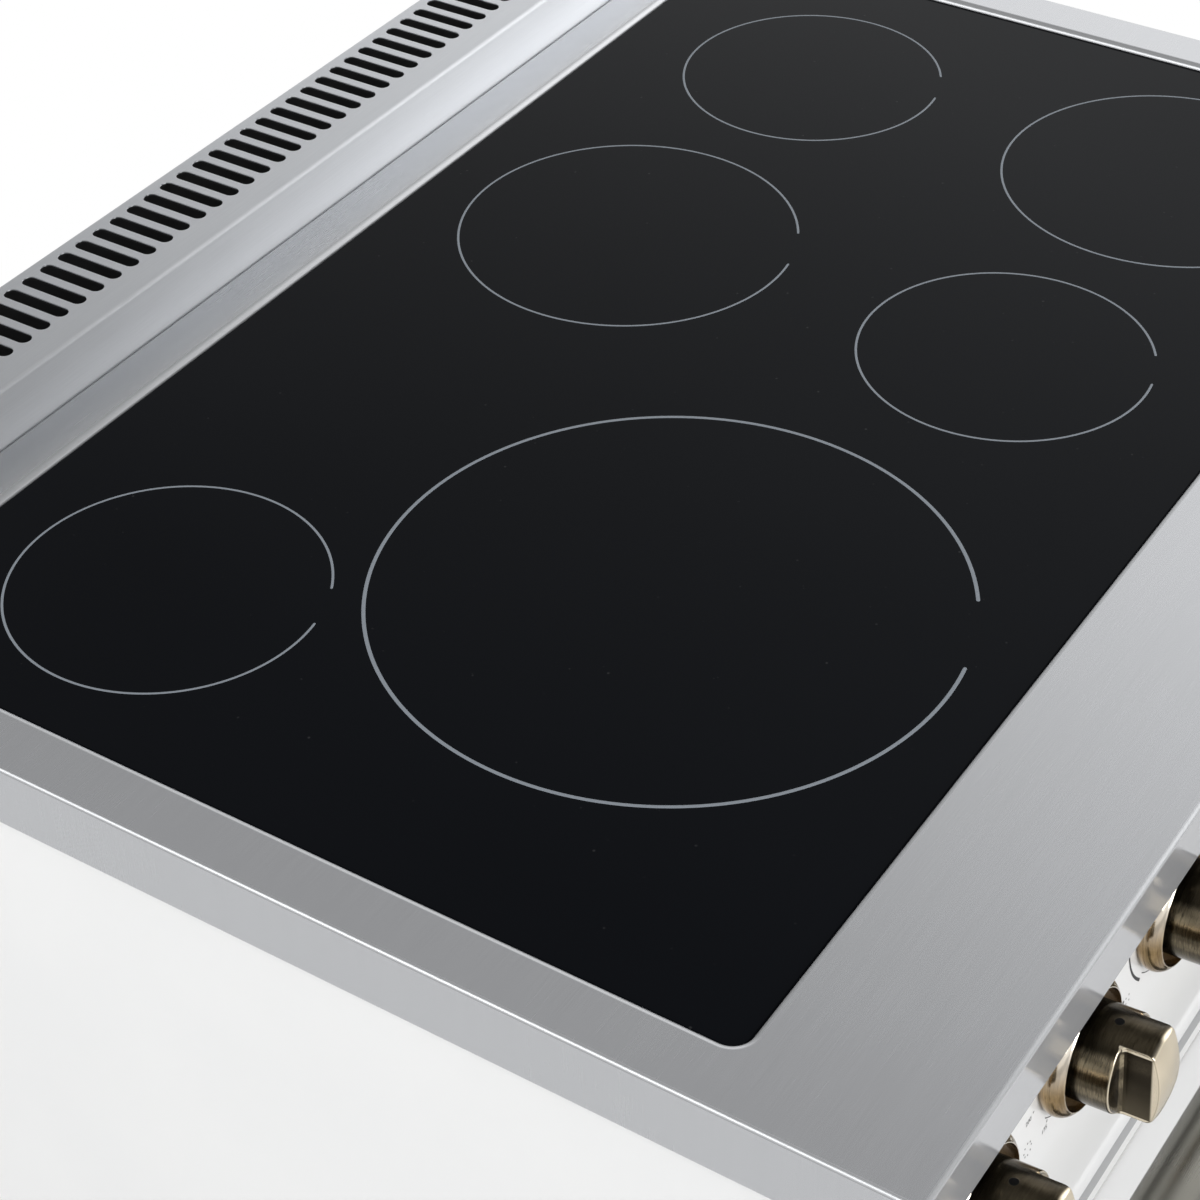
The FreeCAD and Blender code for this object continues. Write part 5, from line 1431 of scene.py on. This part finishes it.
@dataclass
class Body:
    """Side panels, front frame, base, back panel with its screws, and terminal box."""

    head: float = 0.00425
    rise: float = 0.0026
    dome: tuple[Span, ...] = ((1.0, 0.0), (1.0, 0.35), (0.94, 0.62), (0.8, 0.84), (0.62, 0.95))
    dome_steps: int = 24
    slot: float = 0.0028
    slot_half: float = 0.2
    pit_reach: float = 0.55
    pit_level: float = 0.3
    per_side: int = 5
    turn_step: float = 37.0
    turn_side: float = 20.0

    def build(self) -> None:
        """Dress the solids and put recessed heads on the screws."""
        dress(Looks.WHITE, "side_panel_left", "side_panel_right")
        dress(Looks.FINE_ZINC, "front_frame")
        dress(Looks.ZINC, "base_frame", "back_panel", "terminal_box", "screws")
        self.fit_screws()

    def fit_screws(self) -> None:
        """Build the back panel's screws as domed heads with a cross recess."""
        low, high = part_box("screws")
        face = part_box("back_panel")[1].y
        piece = Piece("back_screws")
        x = (high.x - low.x) / 2 - self.head
        step = (high.z - low.z - 2 * self.head) / (self.per_side - 1)
        for side in (-1.0, 1.0):
            for index in range(self.per_side):
                base = Vector((x * side, face, low.z + self.head + step * index))
                self.add_head(piece, base, self.turn_step * index + self.turn_side * side)
        made = piece.finish(Looks.ZINC, "cabinet", "zinc_sheet")
        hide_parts("screws")

    def add_head(self, piece: Piece, base: Vector, turn: float) -> None:
        """Add one head: a dome with a tapered cross sunk into it.

        Args:
            piece: The piece of all screws.
            base: Middle of the head on the panel.
            turn: How far the cross is turned, in degrees.
        """
        turns = [turn + 360.0 * step / self.dome_steps for step in range(self.dome_steps + 1)]
        rows = [[polar(base, ACROSS, UP, self.head * reach, angle) + BACK * (self.rise * level) for angle in turns]
                for reach, level in self.dome]
        piece.strip(rows)
        arm, half = self.slot, self.slot * self.slot_half
        quarter = [Vector(point) for point in ((arm, -half), (arm, half), (half, half))]
        cross = [Matrix.Rotation(math.radians(turn + 90.0 * arms), 2) @ point for arms in range(4) for point in quarter]
        brim = [base + ACROSS * u + UP * v + BACK * self.rise for u, v in cross]
        pit = [base + (ACROSS * u + UP * v) * self.pit_reach + BACK * (self.rise * self.pit_level) for u, v in cross]
        count = len(cross)
        walls = [(i, (i + 1) % count, count + (i + 1) % count, count + i) for i in range(count)]
        piece.add(brim + pit, walls + [tuple(range(count, 2 * count))])
        self.join_top(piece, rows[-1][:-1], brim)

    @staticmethod
    def join_top(piece: Piece, rim: Sequence[Vector], brim: Sequence[Vector]) -> None:
        """Fill between the dome's upper ring and the cross.

        Args:
            piece: The piece of all screws.
            rim: Points of the ring.
            brim: Points of the cross's outline.
        """
        count, around = len(brim), len(rim)
        each = around // count
        middle = sum(rim, Vector()) / around
        first = min(range(around), key=lambda index: (rim[index] - brim[0]).length)
        turned = [rim[(first + index) % around] for index in range(around)]
        lead, trail = ((line[1] - middle).cross(line[0] - middle).dot(BACK) for line in (turned, brim))
        if lead * trail < 0:
            turned = [turned[0]] + turned[:0:-1]
        faces = []
        for index in range(count):
            arc = [count + (index * each + step) % around for step in range(each + 1)]
            faces.append((index, (index + 1) % count, *reversed(arc)))
        piece.add(list(brim) + turned, faces)


@dataclass
class Legs:
    """Four tapered legs with levelling feet."""

    @staticmethod
    def places() -> tuple[float, float, float]:
        """Half the legs' spacing across, and the middle and half of their spacing in depth.

        Returns:
            The three distances.
        """
        front, back = middle_of("foot_front_right"), middle_of("foot_back_right")
        return front.x, (front.y + back.y) / 2, (back.y - front.y) / 2

    def build(self) -> None:
        """Dress the solids."""
        dress(Looks.LEG, "legs", "foot_front_left", "foot_front_right", "foot_back_left", "foot_back_right")


class Lamp(NamedTuple):
    """A soft square lamp: its name, where it hangs, the length of its side and its power in watts."""

    name: str
    place: tuple[float, float, float]
    size: float
    power: float


@dataclass
class Studio:
    """Floor, light and camera."""

    lens: float = 82.961
    sensor: float = 36.0
    clip: Span = (0.02, 100.0)
    eye: tuple[float, float, float] = (-1.06563, -0.59953, 1.75207)
    turn: tuple[float, float, float] = (50.7407, 1.1227, -57.1161)
    floor_half: float = 14.0
    floor_tone: Colour = (0.71, 0.71, 0.71)
    floor_fade: Span = (1.05, 1.6)
    floor_mirrored: float = 0.3
    walls: Span = (0.12, 0.4)
    sky_level: float = 0.46
    sky_aside: float = 1.68
    sky_fall: float = 0.74
    sky_back: float = 0.2
    sky_least: float = 0.42
    sky_most: float = 1.1
    top: Span = (0.78, 0.93)
    top_level: float = 0.7
    before: Span = (-0.1, -0.32)
    box: Span = (0.53, 0.77)
    box_level: float = 3.1
    front_low: float = 0.5
    fill: float = 0.66
    aim: tuple[float, float, float] = (0.0, 0.0, 0.6)
    lamps: tuple[Lamp, ...] = (Lamp("left", (-2.5, 1.1, 2.7), 1.6, 34.0), Lamp("front", (-1.0, -3.0, 2.2), 1.4, 50.0))

    def build(self) -> None:
        """Make the stage, the light and the camera."""
        scene = bpy.context.scene
        scene.view_settings.view_transform = "Standard"
        self.make_floor()
        self.make_world()
        for lamp in self.lamps:
            self.hang(lamp)
        data = bpy.data.cameras.new("photo_camera")
        data.lens = self.lens
        data.sensor_width = self.sensor
        data.clip_start, data.clip_end = self.clip
        camera = add_object("photo_camera", data)
        camera.location = self.eye
        camera.rotation_euler = [math.radians(angle) for angle in self.turn]
        scene.camera = camera

    def make_floor(self) -> None:
        """A pale floor that takes the shadow near the range and goes white further off."""
        mesh = bpy.data.meshes.new("floor")
        half = self.floor_half
        mesh.from_pydata([(-half, -half, 0), (half, -half, 0), (half, half, 0), (-half, half, 0)], [], [(0, 1, 2, 3)])
        add_object("floor", mesh)
        material = bpy.data.materials.new("floor_white")
        shader = Shader.fresh(material)
        matt = shader.node("ShaderNodeBsdfDiffuse", {"Color": self.floor_tone})
        white = shader.node("ShaderNodeEmission", {"Color": PURE_WHITE, "Strength": 1.0})
        far = shader.vector("LENGTH", shader.place(), Vector(), "Value").ease(self.floor_fade)
        camera = shader.node("ShaderNodeLightPath")["Is Camera Ray"]
        share = far * camera.most(self.seen(shader) * self.floor_mirrored)
        mix = shader.node("ShaderNodeMixShader", {0: share, 1: matt[0], 2: white[0]})
        shader.node("ShaderNodeOutputMaterial", {0: mix[0]})
        mesh.materials.append(material)

    @staticmethod
    def seen(shader: Shader) -> Signal:
        """One for rays that show the background: from the camera, off gloss and through glass."""
        path = shader.node("ShaderNodeLightPath")
        return path["Is Camera Ray"].most(path["Is Glossy Ray"].most(path["Is Transmission Ray"]))

    def make_world(self) -> None:
        """White walls under a grey ceiling, a bright box at the front right, and an even soft fill for the light."""
        world = bpy.data.worlds.new("studio")
        shader = Shader.fresh(world)
        aside, ahead, rise = shader.parts(shader.node("ShaderNodeTexCoord")["Generated"])
        panels = aside * aside * self.sky_aside - (rise * self.sky_fall + ahead * self.sky_back)
        reach = (self.sky_least - self.sky_level, self.sky_most - self.sky_level)
        before = ahead.ease(self.before)
        ceiling = panels.remap(reach, (self.sky_least, self.sky_most)) * before.remap(UNIT, (1.0, self.front_low))
        overhead = rise.ease(self.top, (0.0, self.top_level))
        walls = rise.ease(self.walls, (1.0, 0.0))
        box = aside.remap(self.box, (0.0, self.box_level)) * before
        surround = ceiling.most(overhead).most(walls.most(box))
        level = surround.most(shader.node("ShaderNodeLightPath")["Is Camera Ray"])
        shown = shader.node("ShaderNodeBackground", {"Color": PURE_WHITE, "Strength": level})
        light = shader.node("ShaderNodeBackground", {"Color": PURE_WHITE, "Strength": self.fill})
        mix = shader.node("ShaderNodeMixShader", {0: self.seen(shader), 1: light[0], 2: shown[0]})
        shader.node("ShaderNodeOutputWorld", {0: mix[0]})
        bpy.context.scene.world = world

    def hang(self, lamp: Lamp) -> None:
        """Hang one lamp, turned to the range.

        Args:
            lamp: The lamp.
        """
        data = bpy.data.lights.new(lamp.name, "AREA")
        data.shape = "SQUARE"
        data.size = lamp.size
        data.energy = lamp.power
        made = add_object(lamp.name, data)
        made.location = lamp.place
        made.rotation_euler = (Vector(self.aim) - Vector(lamp.place)).to_track_quat("-Z", "Y").to_euler()


def main() -> None:
    """Build the sub-assemblies and the studio in order, and report each."""
    logging.basicConfig(level=logging.INFO, format="%(name)s: %(message)s")
    for part in (Cooktop(), Controls(), Oven(), Door(), Drawer(), Body(), Legs(), Studio()):
        part.build()
        LOG.info("built %s", type(part).__name__)


if __name__ == "__main__":
    main()
